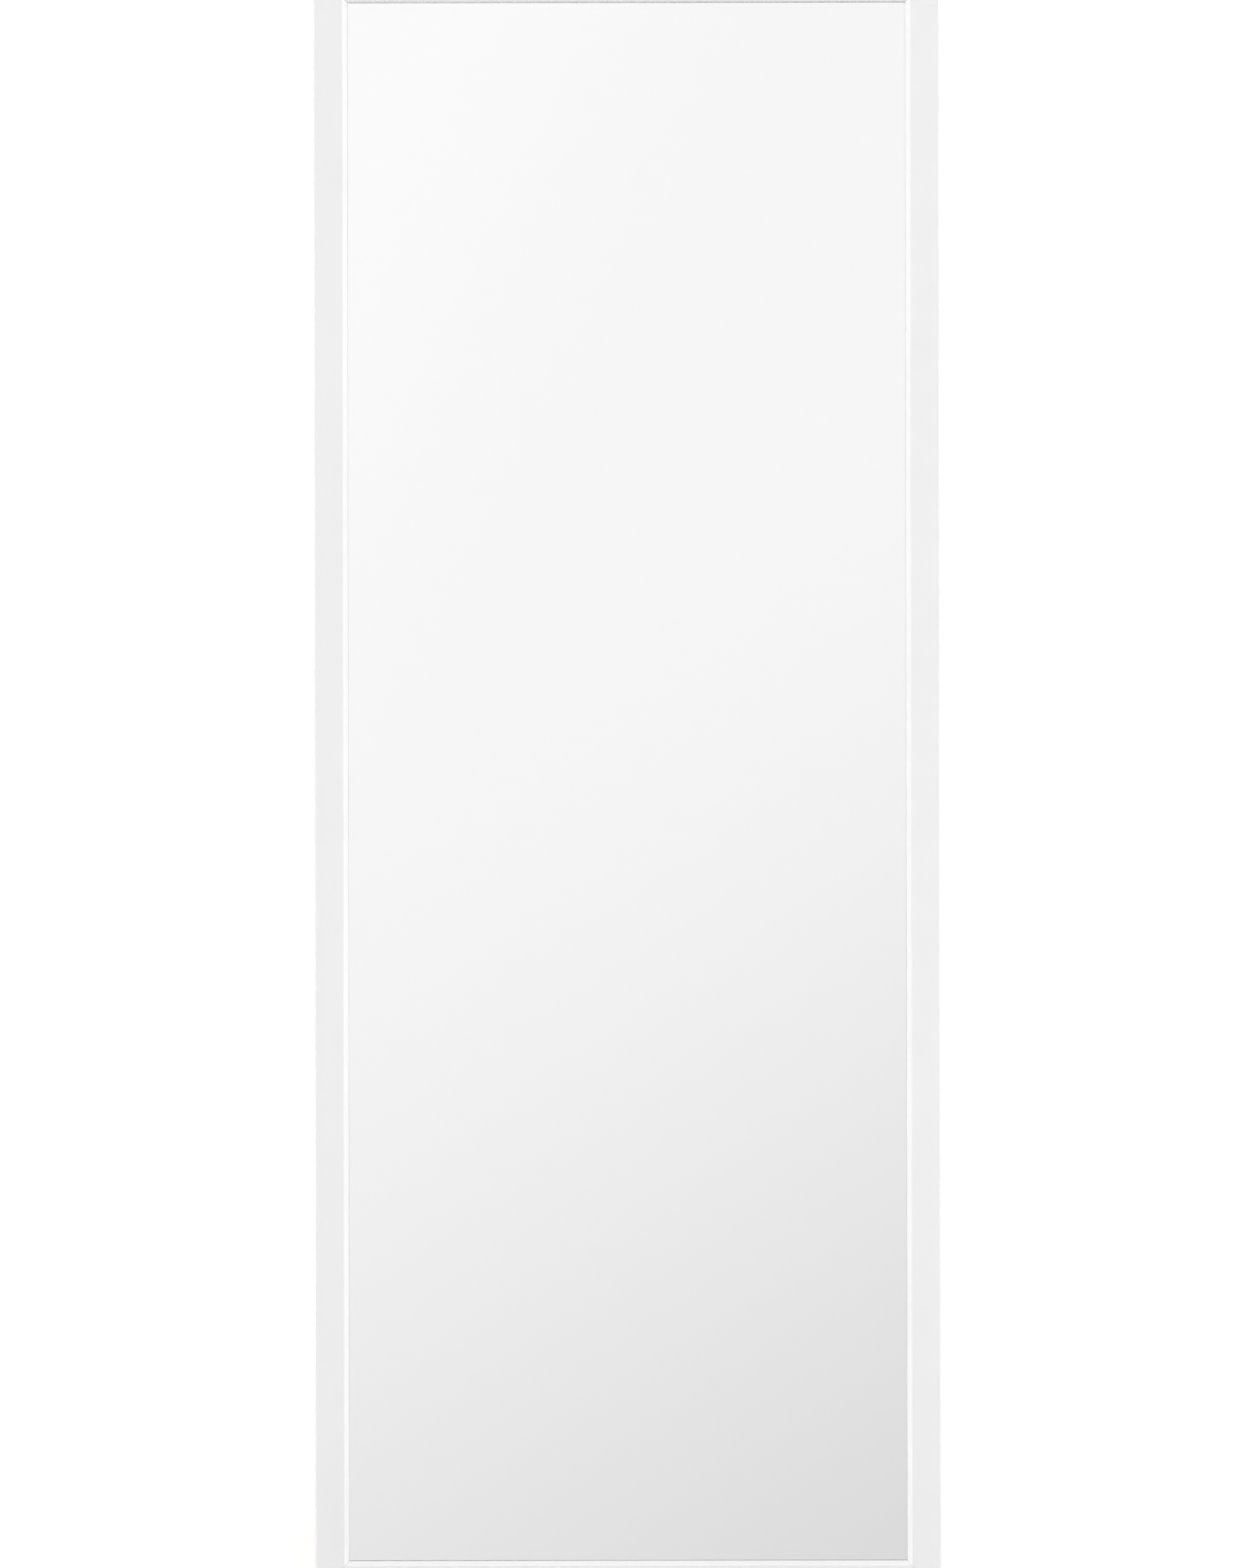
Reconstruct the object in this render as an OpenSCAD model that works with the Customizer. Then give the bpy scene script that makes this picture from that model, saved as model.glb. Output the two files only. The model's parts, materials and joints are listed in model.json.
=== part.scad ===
// Full-length standing mirror. A mitred white moulding holds a silvered glass,
// and a folding U-shaped tube behind it props the frame at a slight lean.
// Sizes are in millimetres. The frame is drawn upright, with x across it,
// y from its front face to its back and z up its height, and is then leaned.

/* [Frame] */
// Width of the frame over its outer edges
frame_w = 650; // [500:10:800]
// Height of the frame along its own slope
frame_h = 1690; // [1540:10:1900]
// Thickness of the moulding from front to back
frame_t = 20; // [18:1:24]
// Width of the moulding's flat front face
face_w = 30; // [29:1:40]
// Width of the bevel between the flat face and the glass
bevel_w = 5; // [3:0.5:7]
// Fall of the bevel towards the glass
bevel_d = 3.5; // [2:0.5:4]
// Square edge under the bevel, which the glass lies against
lip_edge = 2.5; // [1.5:0.5:3]
// Width of the rebate that the glass and the back sit in
rebate_w = 8; // [7:0.5:9]
// Radius on the long outer edges of the moulding
arris_r = 1.5; // [0.5:0.5:3]
// Hairline left between the mitred ends
mitre_gap = 0.2; // [0.1:0.05:0.4]
// Radius of the dowel across each mitre
dowel_r = 3; // [2:0.5:4]
// Length of the dowel across each mitre
dowel_len = 24; // [18:1:26]
// Room beyond each end of a dowel
dowel_room = 1; // [0.5:0.5:2]

/* [Glass and back] */
// Thickness of the mirror glass
glass_t = 4; // [3:1:5]
// Clearance round the glass and the boards in the rebate
edge_gap = 2; // [1:0.5:3]
// Cut across each corner of the glass
glass_dub = 2; // [1:0.5:4]
// Length of each of the two blocks that the glass stands on
block_len = 40; // [20:5:60]
// Distance of each block from the middle
block_x = 150; // [80:10:180]
// Thickness of the corrugated packing board
packing_t = 3; // [2:0.5:4]
// Thickness of the hardboard back panel
panel_t = 3; // [2:0.5:4]

/* [Panel clips] */
// Width of a retaining clip along the frame
clip_w = 12; // [10:1:16]
// Thickness of the clip strip
clip_t = 1.2; // [0.8:0.1:1.6]
// Length of the clip's foot over the back panel
clip_grip = 10; // [6:1:14]
// Length of the clip's base on the wood
clip_base = 17; // [15:1:20]
// Play between the clip's leg and the wall of the rebate
clip_play = 0.3; // [0.1:0.1:0.6]
// Distance of the end clips from the ends of the stiles
clip_end = 105; // [95:5:120]
// Distance of the clips from the hinge brackets
clip_clear = 40; // [20:5:60]
// Number of clips on a stile below the hinge bracket
clips_below = 4; // [2:1:6]
// Distance of the rail clips from the middle
rail_clip_x = 150; // [80:10:170]

/* [Wood screws] */
// Radius of the shank
screw_r = 1.75; // [1.5:0.25:2]
// Length under the head
screw_len = 14; // [12:1:15]
// Length of the point
screw_point = 4; // [3:0.5:5]
// Radius of the pan head
screw_head_r = 3.25; // [3:0.25:3.5]
// Height of the pan head
screw_head_h = 2.2; // [1.8:0.1:2.6]
// Height of the straight rim under the dome of the head
screw_rim = 0.8; // [0.4:0.1:1.2]
// Width of the arms of the cross recess
recess_w = 0.9; // [0.6:0.1:1.2]
// Length of the arms of the cross recess, from tip to tip
recess_len = 3.6; // [2.8:0.2:4.4]
// Depth of the cross recess
recess_depth = 1.3; // [0.8:0.1:1.6]
// Radial clearance of a shank in the wood
pilot_gap = 0.05; // [0.03:0.01:0.15]
// Radial clearance of a shank in a metal plate
plate_gap = 0.25; // [0.15:0.05:0.4]
// Depth of a pilot hole past the point of its screw
pilot_room = 0.5; // [0.2:0.1:1]

/* [Corner plates] */
// Length of each arm of an angle plate
corner_leg = 60; // [50:5:75]
// Width of the arms
corner_w = 12; // [10:1:14]
// Thickness of the plate
corner_t = 2; // [1.5:0.5:3]
// Radius on the ends of the arms
corner_r = 4; // [1:1:5]
// Distance of the outer screw from the end of its arm
corner_screw_end = 8; // [6:1:10]
// Distance between the two screws of an arm
corner_screw_pitch = 30; // [20:1:32]

/* [Keyhole hangers] */
// Distance of a hanger plate from the top of the frame
hanger_drop = 200; // [165:5:240]
// Length of a hanger plate
hanger_len = 56; // [50:1:64]
// Width of a hanger plate
hanger_w = 14; // [13:1:18]
// Thickness of a hanger plate
hanger_t = 1.5; // [1:0.5:2]
// Radius on the corners of a hanger plate
hanger_corner = 5; // [2:1:6]
// Distance of a hanger screw from the end of the plate
hanger_screw_end = 7; // [5:0.5:8]
// Radius of the hole that a wall screw's head goes through
keyhole_r = 4.5; // [4:0.25:5]
// Half width of the slot that the wall screw slides up
keyhole_slot_r = 2.25; // [2:0.25:2.5]
// Distance from the middle of the hole to the end of the slot
keyhole_rise = 12; // [8:1:14]
// Distance of the hole below the middle of the plate
keyhole_low = 4; // [3:0.5:6]
// Depth of the pocket in the wood behind the keyhole
pocket_depth = 9; // [6:1:12]
// Width of the pocket beyond the hole, all round
pocket_margin = 1; // [0.5:0.25:1.5]

/* [Foot pads] */
// Length of a foot pad along the bottom rail
pad_len = 60; // [50:5:90]
// Distance of a pad's middle from the side of the frame
pad_edge = 60; // [55:5:100]
// Thickness of a pad under the back edge of the frame
pad_t = 3; // [3:0.5:6]
// Distance of a pad from the front and back of the rail
pad_inset = 1.5; // [1:0.5:3]
// Radius on the upright corners of a pad
pad_corner = 3; // [1:0.5:5]
// Distance of each pad screw from the pad's middle
pad_screw_x = 18; // [15:1:20]
// Rubber left between a pad screw's head and the rail
pad_seat = 1.5; // [1:0.1:1.5]
// Radial clearance round a pad screw's head
pad_sink_gap = 0.4; // [0.2:0.1:1]

/* [Hinge brackets] */
// Lean of the frame from upright, in degrees
lean = 9; // [7:0.5:14]
// Height of the pivot up the frame
pivot_u = 1180; // [1100:10:1240]
// Distance of the pivot behind the frame's back
pivot_off = 16; // [15:0.5:20]
// Distance of a leg's middle from the side of the frame
leg_inset = 15; // [14.5:0.5:16.5]
// Thickness of the bracket's sheet
bracket_t = 2; // [1.5:0.5:2.5]
// Inner radius of the bracket's bends
bracket_bend = 1; // [0.5:0.5:2]
// Radius of the ears round the pivot
ear_r = 8; // [7:0.5:10]
// Half length of the ears along the base plate
ear_half = 22; // [18:1:26]
// Gap between an ear's root and the tab of the base plate
ear_relief = 3; // [2:0.5:4]
// Radius on the corners of the base plate
bracket_corner = 4; // [2:1:5]
// Distance of the bracket screws from the ends of the base plate
bracket_screw_end = 6; // [5:0.5:8]
// Distance of the bracket screws from the middle of the base plate
bracket_screw_x = 5.5; // [4:0.5:6]
// Room between a screw head and what is next to it on the base plate
bracket_screw_room = 1.75; // [1:0.25:4]

/* [Pivots] */
// Radius of the pivot bolt's shank
bolt_r = 3; // [2.5:0.5:3]
// Length of the bolt under its head
bolt_len = 30; // [29:1:33]
// Radius of the bolt's button head
bolt_head_r = 5.25; // [4.5:0.25:6]
// Height of the button head
bolt_head_h = 3.3; // [2.5:0.1:3.6]
// Height of the straight rim of the button head
bolt_rim = 1; // [0.5:0.1:1.5]
// Width across the flats of the hexagon socket
socket_af = 4; // [3:0.5:5]
// Depth of the hexagon socket
socket_depth = 2; // [1:0.2:2.2]
// Bevel on the end of the bolt
bolt_end_bevel = 0.6; // [0.3:0.1:1]
// Radial clearance of the bolt in an ear
ear_gap = 0.1; // [0.05:0.05:0.3]
// Radial clearance of the bolt in its bush and nut
bush_bore_gap = 0.05; // [0.03:0.01:0.1]
// Outer radius of the nylon bush that the leg turns on
bush_r = 4.5; // [4:0.25:5]
// Radial clearance of the leg on its bush
bush_run_gap = 0.05; // [0.03:0.01:0.1]
// Width across the flats of the lock nut
nut_af = 10; // [9:0.5:11]
// Height of the nut's hexagon
nut_h = 5; // [4:0.5:6]
// Radius of the nut's nylon collar
nut_collar_r = 4.3; // [4:0.1:4.5]
// Height of the nut's nylon collar
nut_collar_h = 1.5; // [1:0.5:2]

/* [Stand] */
// Outer radius of the stand tube
tube_r = 8; // [7.5:0.25:8.5]
// Wall of the stand tube
tube_wall = 1.2; // [1:0.1:1.6]
// Centreline radius of the tube's two bends
bend_r = 50; // [40:5:80]
// Gap between a leg and each ear of its bracket
leg_gap = 0.3; // [0.2:0.05:0.5]
// Length of tube above the pivot
tube_over = 12; // [11:0.5:13]
// Height of the folded stand's feet above the bottom of the frame
fold_margin = 4; // [2:1:8]

/* [Stop caps] */
// Length of the cap's stem inside the tube
cap_stem = 6.5; // [4:0.5:7]
// Radial clearance of the stem in the tube
cap_gap = 0.1; // [0.05:0.05:0.2]
// Rounding on the end of the cap
cap_round = 3; // [2:0.5:4]
// Length of the cap past the point where it meets its bracket
cap_land = 8; // [6:0.5:10]
// Gap between the cap's flat and the bracket when the stand is open
stop_gap = 0.15; // [0.1:0.05:0.2]

/* [Stand feet] */
// Outer radius of a rubber foot sleeve
foot_r = 11.5; // [10.5:0.5:13]
// Length of a foot sleeve
foot_len = 50; // [40:5:70]
// Radial clearance of a sleeve on the tube
foot_gap = 0.1; // [0.05:0.05:0.2]
// Distance of a sleeve from the end of the bend
foot_from_bend = 5; // [2:1:10]
// Rounding on the ends of a sleeve
foot_round = 2; // [1:0.5:2]
// Number of grooves round a sleeve
foot_grooves = 3; // [1:1:4]
// Width of a groove
groove_w = 3; // [2:0.5:4]
// Depth of a groove
groove_depth = 1; // [0.5:0.25:1.5]

/* [Buffers] */
// Height of the buffers up the frame
buffer_u = 200; // [150:10:260]
// Radius of a buffer
buffer_r = 6; // [5:0.5:7]
// Rounding on the end of a buffer
buffer_round = 1.5; // [1:0.5:2]
// Gap between a buffer and the folded leg
buffer_gap = 0.3; // [0.2:0.1:0.6]
// Radius of a buffer's push-in stem
buffer_stem_r = 2.5; // [2:0.25:3]
// Length of a buffer's stem
buffer_stem = 8; // [6:1:10]
// Radial clearance of the stem in the wood
buffer_stem_gap = 0.05; // [0.03:0.01:0.1]

/* [Hidden] */
$fn = 64;
cut = 1; // how far a cutting shape runs past the surface that it cuts

// Section of the moulding, from its outer edge inwards and from front to back
profile_w = face_w + bevel_w;
back_w = profile_w - rebate_w;
lip_v = bevel_d + lip_edge;
packing_v = lip_v + glass_t;
panel_v = packing_v + packing_t;
panel_back_v = panel_v + panel_t;
mitre_shift = mitre_gap / sqrt(2);

// Glass and boards
sheet_edge = back_w + edge_gap;
sheet_w = frame_w - 2 * sheet_edge;
sheet_h = frame_h - 2 * sheet_edge;

// Hardware centred on the back of the wood
wood_mid = back_w / 2;
corner_edge = wood_mid - corner_w / 2;
corner_far = corner_edge + corner_leg - corner_screw_end;
corner_near = corner_far - corner_screw_pitch;
clip_screw_s = back_w - clip_base / 2;
hanger_u = frame_h - hanger_drop;
hanger_screw_u = hanger_len / 2 - hanger_screw_end;

// Lean and stand. Pivot and foot are worked out from the floor up.
frame_z = pad_t * cos(lean) + frame_t * sin(lean);
pivot_v = frame_t + pivot_off;
pivot_z = frame_z + pivot_u * cos(lean) - pivot_v * sin(lean);
leg_len = pivot_u - foot_r - fold_margin;
prop_angle = acos((pivot_z - foot_r) / leg_len);
open_angle = lean + prop_angle;
foot_y = pivot_u * sin(lean) + pivot_v * cos(lean) + leg_len * sin(prop_angle);
toe_front_y = pad_inset * cos(lean) - pad_depth_at(pad_inset) * sin(lean);
arris_front_y = arris_r * (cos(lean) + sin(lean) - 1);
frame_y = -(min(toe_front_y, arris_front_y) + foot_y + foot_r) / 2;
leg_x = frame_w / 2 - leg_inset;
bar_half = leg_x - bend_r;
foot_x = bar_half - foot_from_bend - foot_len / 2;

// Stop: where the front of the opened leg meets the bracket's base plate
plate_gap_y = pivot_off - bracket_t - stop_gap;
stop_reach = (plate_gap_y - tube_r * cos(open_angle)) / sin(open_angle);
cap_end = stop_reach + cap_land;
stop_end_n = (plate_gap_y - cap_end * sin(open_angle)) / cos(open_angle);
stop_end_u = cap_end * cos(open_angle) - stop_end_n * sin(open_angle);

// Hinge bracket
channel_in = tube_r + leg_gap;
channel_out = channel_in + bracket_t;
bend_out = bracket_bend + bracket_t;
screw_down = ear_half + ear_relief + screw_head_r + bracket_screw_room;
screw_up = max(stop_end_u, ear_half + ear_relief) + screw_head_r + bracket_screw_room;
bracket_down = screw_down + bracket_screw_end;
bracket_up = screw_up + bracket_screw_end;

// Rows of clips, measured along a stile and along a rail
clip_top_low = pivot_u - bracket_down - clip_clear;
clip_step = (clip_top_low - clip_end) / (clips_below - 1);
low_clips = [for (i = [0 : clips_below - 1]) clip_end + i * clip_step];
high_clips = [pivot_u + bracket_up + clip_clear, frame_h - clip_end];
stile_clips = concat(low_clips, high_clips);
rail_clips = [frame_w / 2 - rail_clip_x, frame_w / 2 + rail_clip_x];

buffer_h = pivot_off - tube_r - buffer_gap;

white_foil = "white";
zinc = "silver";
rubber_grey = "dimgray";
nylon = "ivory";

// Thickness of a foot pad at a distance v from the front face
function pad_depth_at(v) = pad_t + (frame_t - v) * tan(lean);

// Point where the tangent from p touches a circle of radius r round the origin
function tangent_point(p, r, turn) =
    let (a = atan2(p[1], p[0]) + turn * acos(r / norm(p)))
    [r * cos(a), r * sin(a)];

// Places the upright frame on the floor at its lean
module leaned() {
    translate([0, frame_y, frame_z]) rotate([-lean, 0, 0]) children();
}

// Measures from a corner of the frame inwards, the same at all four corners
module from_corner(right, top) {
    mirror([right, 0, 0]) translate([-frame_w / 2, 0, top * frame_h])
        mirror([0, 0, top]) children();
}

// Turns what is drawn along a stile to lie along a rail
module along_rail() {
    mirror([1, 0, -1]) children();
}

// Points a screw or stem, drawn along z, out of the back of the frame
module out_of_back() {
    translate([0, frame_t, 0]) rotate([-90, 0, 0]) children();
}

// Middle of a leg's pivot, with x inwards
module at_pivot(right) {
    from_corner(right, 0) translate([leg_inset, pivot_v, pivot_u]) children();
}

// The stand's own frame: origin on the pivot axis, legs hanging straight down
module opened() {
    leaned() translate([0, pivot_v, pivot_u]) rotate([open_angle, 0, 0]) children();
}

module rounded_rect(w, h, r) {
    square([w - 2 * r, h], center = true);
    square([w, h - 2 * r], center = true);
    for (x = [-1, 1], y = [-1, 1])
        translate([x * (w / 2 - r), y * (h / 2 - r)]) circle(r);
}

// Round head with a straight rim and a shallow dome
module domed_head(r, h, rim) {
    dome_r = (r * r + pow(h - rim, 2)) / (2 * (h - rim));
    rotate_extrude() intersection() {
        square([r, h]);
        translate([0, h - dome_r]) circle(dome_r);
    }
}

// Wood screw with its head's seat at z = 0
module wood_screw() {
    difference() {
        domed_head(screw_head_r, screw_head_h, screw_rim);
        for (turn = [0, 90])
            rotate(turn) translate([-recess_len / 2, -recess_w / 2, screw_head_h - recess_depth])
                cube([recess_len, recess_w, recess_depth + cut]);
    }
    rotate_extrude() polygon([[0, 0], [screw_r, 0], [screw_r, screw_point - screw_len],
        [0, -screw_len]]);
}

module pilot_hole() {
    translate([0, 0, -screw_len - pilot_room])
        cylinder(h = screw_len + pilot_room + cut, r = screw_r + pilot_gap);
}

module plate_hole(t) {
    translate([0, 0, -cut]) cylinder(h = t + 2 * cut, r = screw_r + plate_gap);
}

// Screw places. Each is used for the screws, their plate holes and their pilot holes.
module at_corner_arm_screws() {
    for (l = [corner_near, corner_far])
        translate([wood_mid, 0, l]) out_of_back() children();
}

module at_clip_screw() {
    translate([clip_screw_s, 0, 0]) out_of_back() children();
}

module at_hanger_screws() {
    for (end = [-1, 1])
        translate([wood_mid, 0, hanger_u + end * hanger_screw_u]) out_of_back() children();
}

module at_bracket_screws() {
    for (x = [-bracket_screw_x, bracket_screw_x], u = [-screw_down, screw_up])
        translate([leg_inset + x, 0, pivot_u + u]) out_of_back() children();
}

module at_pad_screws() {
    for (x = [-pad_screw_x, pad_screw_x])
        translate([pad_edge + x, frame_t / 2, 0]) rotate([180, 0, 0]) children();
}

module at_dowel() {
    translate([wood_mid, frame_t / 2, wood_mid]) rotate([0, 135, 0]) children();
}

// Section of the moulding: x inwards from the outer edge, y from front to back
module moulding_section() {
    difference() {
        union() {
            translate([arris_r, 0]) square([face_w - arris_r, frame_t]);
            translate([0, arris_r]) square([face_w, frame_t - 2 * arris_r]);
            for (y = [arris_r, frame_t - arris_r]) translate([arris_r, y]) circle(arris_r);
            polygon([[face_w - cut, 0], [face_w, 0], [profile_w, bevel_d],
                [profile_w, lip_v + cut], [face_w - cut, lip_v + cut]]);
        }
        translate([back_w, lip_v]) square([rebate_w + cut, frame_t]);
    }
}

// One length of moulding along z, mitred at both ends, with its corner fixings drilled
module moulding(length) {
    difference() {
        intersection() {
            linear_extrude(length) moulding_section();
            translate([0, frame_t + cut, 0]) rotate([90, 0, 0])
                linear_extrude(frame_t + 2 * cut) polygon([[0, mitre_shift],
                    [profile_w, profile_w + mitre_shift],
                    [profile_w, length - profile_w - mitre_shift],
                    [0, length - mitre_shift]]);
        }
        for (end = [0, 1]) translate([0, 0, end * length]) mirror([0, 0, end]) {
            at_corner_arm_screws() translate([0, 0, corner_t]) pilot_hole();
            at_dowel() cylinder(h = dowel_len + 2 * dowel_room, r = dowel_r + pilot_gap,
                center = true);
        }
    }
}

module stile(right) {
    color(white_foil) leaned() from_corner(right, 0) difference() {
        moulding(frame_h);
        for (l = stile_clips)
            translate([0, 0, l]) at_clip_screw() translate([0, 0, clip_t]) pilot_hole();
        at_bracket_screws() translate([0, 0, bracket_t]) pilot_hole();
        at_hanger_screws() translate([0, 0, hanger_t]) pilot_hole();
        keyhole_pocket();
        at_buffer() translate([0, 0, -buffer_stem - pilot_room])
            cylinder(h = buffer_stem + pilot_room + cut, r = buffer_stem_r + buffer_stem_gap);
    }
}

module left_stile() {
    stile(0);
}

module right_stile() {
    stile(1);
}

module rail(top) {
    color(white_foil) leaned() from_corner(0, top) difference() {
        along_rail() moulding(frame_w);
        along_rail() for (l = rail_clips)
            translate([0, 0, l]) at_clip_screw() translate([0, 0, clip_t]) pilot_hole();
        if (top == 0) for (right = [0, 1])
            translate([right * frame_w, 0, 0]) mirror([right, 0, 0])
                at_pad_screws() translate([0, 0, pad_seat]) pilot_hole();
    }
}

module top_rail() {
    rail(1);
}

module bottom_rail() {
    rail(0);
}

// A sheet in the rebate, from depth v
module rebate_sheet(v, t) {
    translate([-sheet_w / 2, v, sheet_edge]) cube([sheet_w, t, sheet_h]);
}

module mirror_glass() {
    color("lightsteelblue") leaned() translate([0, lip_v + glass_t, sheet_edge])
        rotate([90, 0, 0]) linear_extrude(glass_t) polygon([
            [-sheet_w / 2 + glass_dub, 0], [sheet_w / 2 - glass_dub, 0],
            [sheet_w / 2, glass_dub], [sheet_w / 2, sheet_h - glass_dub],
            [sheet_w / 2 - glass_dub, sheet_h], [-sheet_w / 2 + glass_dub, sheet_h],
            [-sheet_w / 2, sheet_h - glass_dub], [-sheet_w / 2, glass_dub]]);
}

module setting_blocks() {
    color(rubber_grey) leaned() for (x = [-block_x, block_x])
        translate([x - block_len / 2, lip_v, back_w]) cube([block_len, glass_t, edge_gap]);
}

module packing_board() {
    color("tan") leaned() rebate_sheet(packing_v, packing_t);
}

module back_panel() {
    color("sienna") leaned() rebate_sheet(panel_v, panel_t);
}

// Z-shaped strip: base on the wood, leg down the rebate, foot on the back panel
module clip_section() {
    leg_s = back_w + clip_play;
    top_v = frame_t + clip_t;
    difference() {
        union() {
            translate([back_w - clip_base, frame_t])
                square([clip_base + clip_play + clip_t, clip_t]);
            translate([leg_s, panel_back_v]) square([clip_t, top_v - panel_back_v]);
            translate([leg_s, panel_back_v]) square([clip_grip, clip_t]);
        }
        translate([leg_s, top_v - clip_t]) difference() {
            square(clip_t + cut);
            circle(clip_t);
        }
        translate([leg_s + clip_t, panel_back_v + clip_t]) rotate(180) difference() {
            square(clip_t + cut);
            circle(clip_t);
        }
    }
}

module panel_clip() {
    difference() {
        translate([0, 0, -clip_w / 2]) linear_extrude(clip_w) clip_section();
        at_clip_screw() plate_hole(clip_t);
    }
}

module at_all_clips() {
    for (right = [0, 1]) from_corner(right, 0)
        for (l = stile_clips) translate([0, 0, l]) children();
    for (top = [0, 1]) from_corner(0, top) along_rail()
        for (l = rail_clips) translate([0, 0, l]) children();
}

module panel_clips() {
    color(zinc) leaned() at_all_clips() panel_clip();
}

module panel_clip_screws() {
    color(zinc) leaned() at_all_clips() at_clip_screw() translate([0, 0, clip_t]) wood_screw();
}

// Both arms of a corner, each drawn along a stile
module both_arms() {
    children();
    along_rail() children();
}

module corner_plate(right, top) {
    color(zinc) leaned() from_corner(right, top) difference() {
        translate([0, frame_t + corner_t, 0]) rotate([90, 0, 0]) linear_extrude(corner_t)
            for (turn = [0, 1]) mirror([turn, -turn, 0])
                translate([wood_mid, corner_edge + corner_leg / 2])
                    rounded_rect(corner_w, corner_leg, corner_r);
        both_arms() at_corner_arm_screws() plate_hole(corner_t);
    }
}

module corner_plate_bottom_left() {
    corner_plate(0, 0);
}

module corner_plate_bottom_right() {
    corner_plate(1, 0);
}

module corner_plate_top_left() {
    corner_plate(0, 1);
}

module corner_plate_top_right() {
    corner_plate(1, 1);
}

module corner_plate_screws() {
    color(zinc) leaned() for (right = [0, 1], top = [0, 1]) from_corner(right, top)
        both_arms() at_corner_arm_screws() translate([0, 0, corner_t]) wood_screw();
}

module mitre_dowels() {
    color("burlywood") leaned() for (right = [0, 1], top = [0, 1])
        from_corner(right, top) at_dowel() cylinder(h = dowel_len, r = dowel_r, center = true);
}

// Outline of a keyhole or its pocket: a hole of radius r with a slot rising from it
module keyhole_outline(r, slot_r) {
    translate([wood_mid, hanger_u - keyhole_low]) {
        circle(r);
        translate([-slot_r, 0]) square([2 * slot_r, keyhole_rise]);
        translate([0, keyhole_rise]) circle(slot_r);
    }
}

module keyhole_pocket() {
    pocket_r = keyhole_r + pocket_margin;
    translate([0, frame_t + cut, 0]) rotate([90, 0, 0])
        linear_extrude(pocket_depth + cut) keyhole_outline(pocket_r, pocket_r);
}

module hanger_plate(right) {
    color(zinc) leaned() from_corner(right, 0) difference() {
        translate([0, frame_t + hanger_t, 0]) rotate([90, 0, 0]) linear_extrude(hanger_t)
            difference() {
                translate([wood_mid, hanger_u])
                    rounded_rect(hanger_w, hanger_len, hanger_corner);
                keyhole_outline(keyhole_r, keyhole_slot_r);
            }
        at_hanger_screws() plate_hole(hanger_t);
    }
}

module hanger_plate_left() {
    hanger_plate(0);
}

module hanger_plate_right() {
    hanger_plate(1);
}

module hanger_screws() {
    color(zinc) leaned() for (right = [0, 1]) from_corner(right, 0)
        at_hanger_screws() translate([0, 0, hanger_t]) wood_screw();
}

// Rubber wedge under the bottom rail, whose sole lies flat on the floor
module foot_pad(right) {
    front = pad_inset;
    back = frame_t - pad_inset;
    color(rubber_grey) leaned() from_corner(right, 0) difference() {
        intersection() {
            translate([pad_edge - pad_len / 2, 0, 0]) rotate([90, 0, 90])
                linear_extrude(pad_len) polygon([[front, 0], [back, 0],
                    [back, -pad_depth_at(back)], [front, -pad_depth_at(front)]]);
            translate([pad_edge, frame_t / 2, -pad_depth_at(front) - cut])
                linear_extrude(pad_depth_at(front) + 2 * cut)
                    rounded_rect(pad_len, back - front, pad_corner);
        }
        at_pad_screws() {
            plate_hole(pad_seat);
            translate([0, 0, pad_seat])
                cylinder(h = pad_depth_at(front), r = screw_head_r + pad_sink_gap);
        }
    }
}

module foot_pad_left() {
    foot_pad(0);
}

module foot_pad_right() {
    foot_pad(1);
}

module foot_pad_screws() {
    color(zinc) leaned() for (right = [0, 1]) from_corner(right, 0)
        at_pad_screws() translate([0, 0, pad_seat]) wood_screw();
}

// Channel section with rounded bends, open towards +y
module trough(half, floor_y, r) {
    wall_h = ear_r - floor_y + cut;
    translate([-half, floor_y + r]) square([2 * half, wall_h - r]);
    translate([-half + r, floor_y]) square([2 * (half - r), wall_h]);
    for (x = [r - half, half - r]) translate([x, floor_y + r]) circle(r);
}

// Side view of an ear: straight flanks that run into a round end at the pivot
module ear_outline() {
    low = [-pivot_off, -ear_half];
    high = [-pivot_off, ear_half];
    polygon([low, tangent_point(low, ear_r, 1), tangent_point(high, ear_r, -1), high]);
    circle(ear_r);
}

// Base plate with the metal beside the ears' roots cut back
module bracket_plate_outline() {
    difference() {
        translate([0, (bracket_up - bracket_down) / 2])
            rounded_rect(2 * channel_out, bracket_up + bracket_down, bracket_corner);
        for (side = [0, 1]) mirror([side, 0, 0])
            translate([channel_out - bend_out, -ear_half - ear_relief])
                square([bend_out + cut, 2 * (ear_half + ear_relief)]);
    }
}

module hinge_bracket(right) {
    color(white_foil) leaned() difference() {
        at_pivot(right) difference() {
            union() {
                translate([0, bracket_t - pivot_off, 0]) rotate([90, 0, 0])
                    linear_extrude(bracket_t) bracket_plate_outline();
                intersection() {
                    translate([0, 0, -ear_half]) linear_extrude(2 * ear_half) difference() {
                        trough(channel_out, -pivot_off, bend_out);
                        trough(channel_in, bracket_t - pivot_off, bracket_bend);
                    }
                    rotate([90, 0, 90]) linear_extrude(2 * channel_out + 2 * cut, center = true)
                        ear_outline();
                }
            }
            rotate([0, 90, 0])
                cylinder(h = 2 * channel_out + 2 * cut, r = bolt_r + ear_gap, center = true);
        }
        from_corner(right, 0) at_bracket_screws() plate_hole(bracket_t);
    }
}

module hinge_bracket_left() {
    hinge_bracket(0);
}

module hinge_bracket_right() {
    hinge_bracket(1);
}

module hinge_bracket_screws() {
    color(zinc) leaned() for (right = [0, 1]) from_corner(right, 0)
        at_bracket_screws() translate([0, 0, bracket_t]) wood_screw();
}

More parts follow.
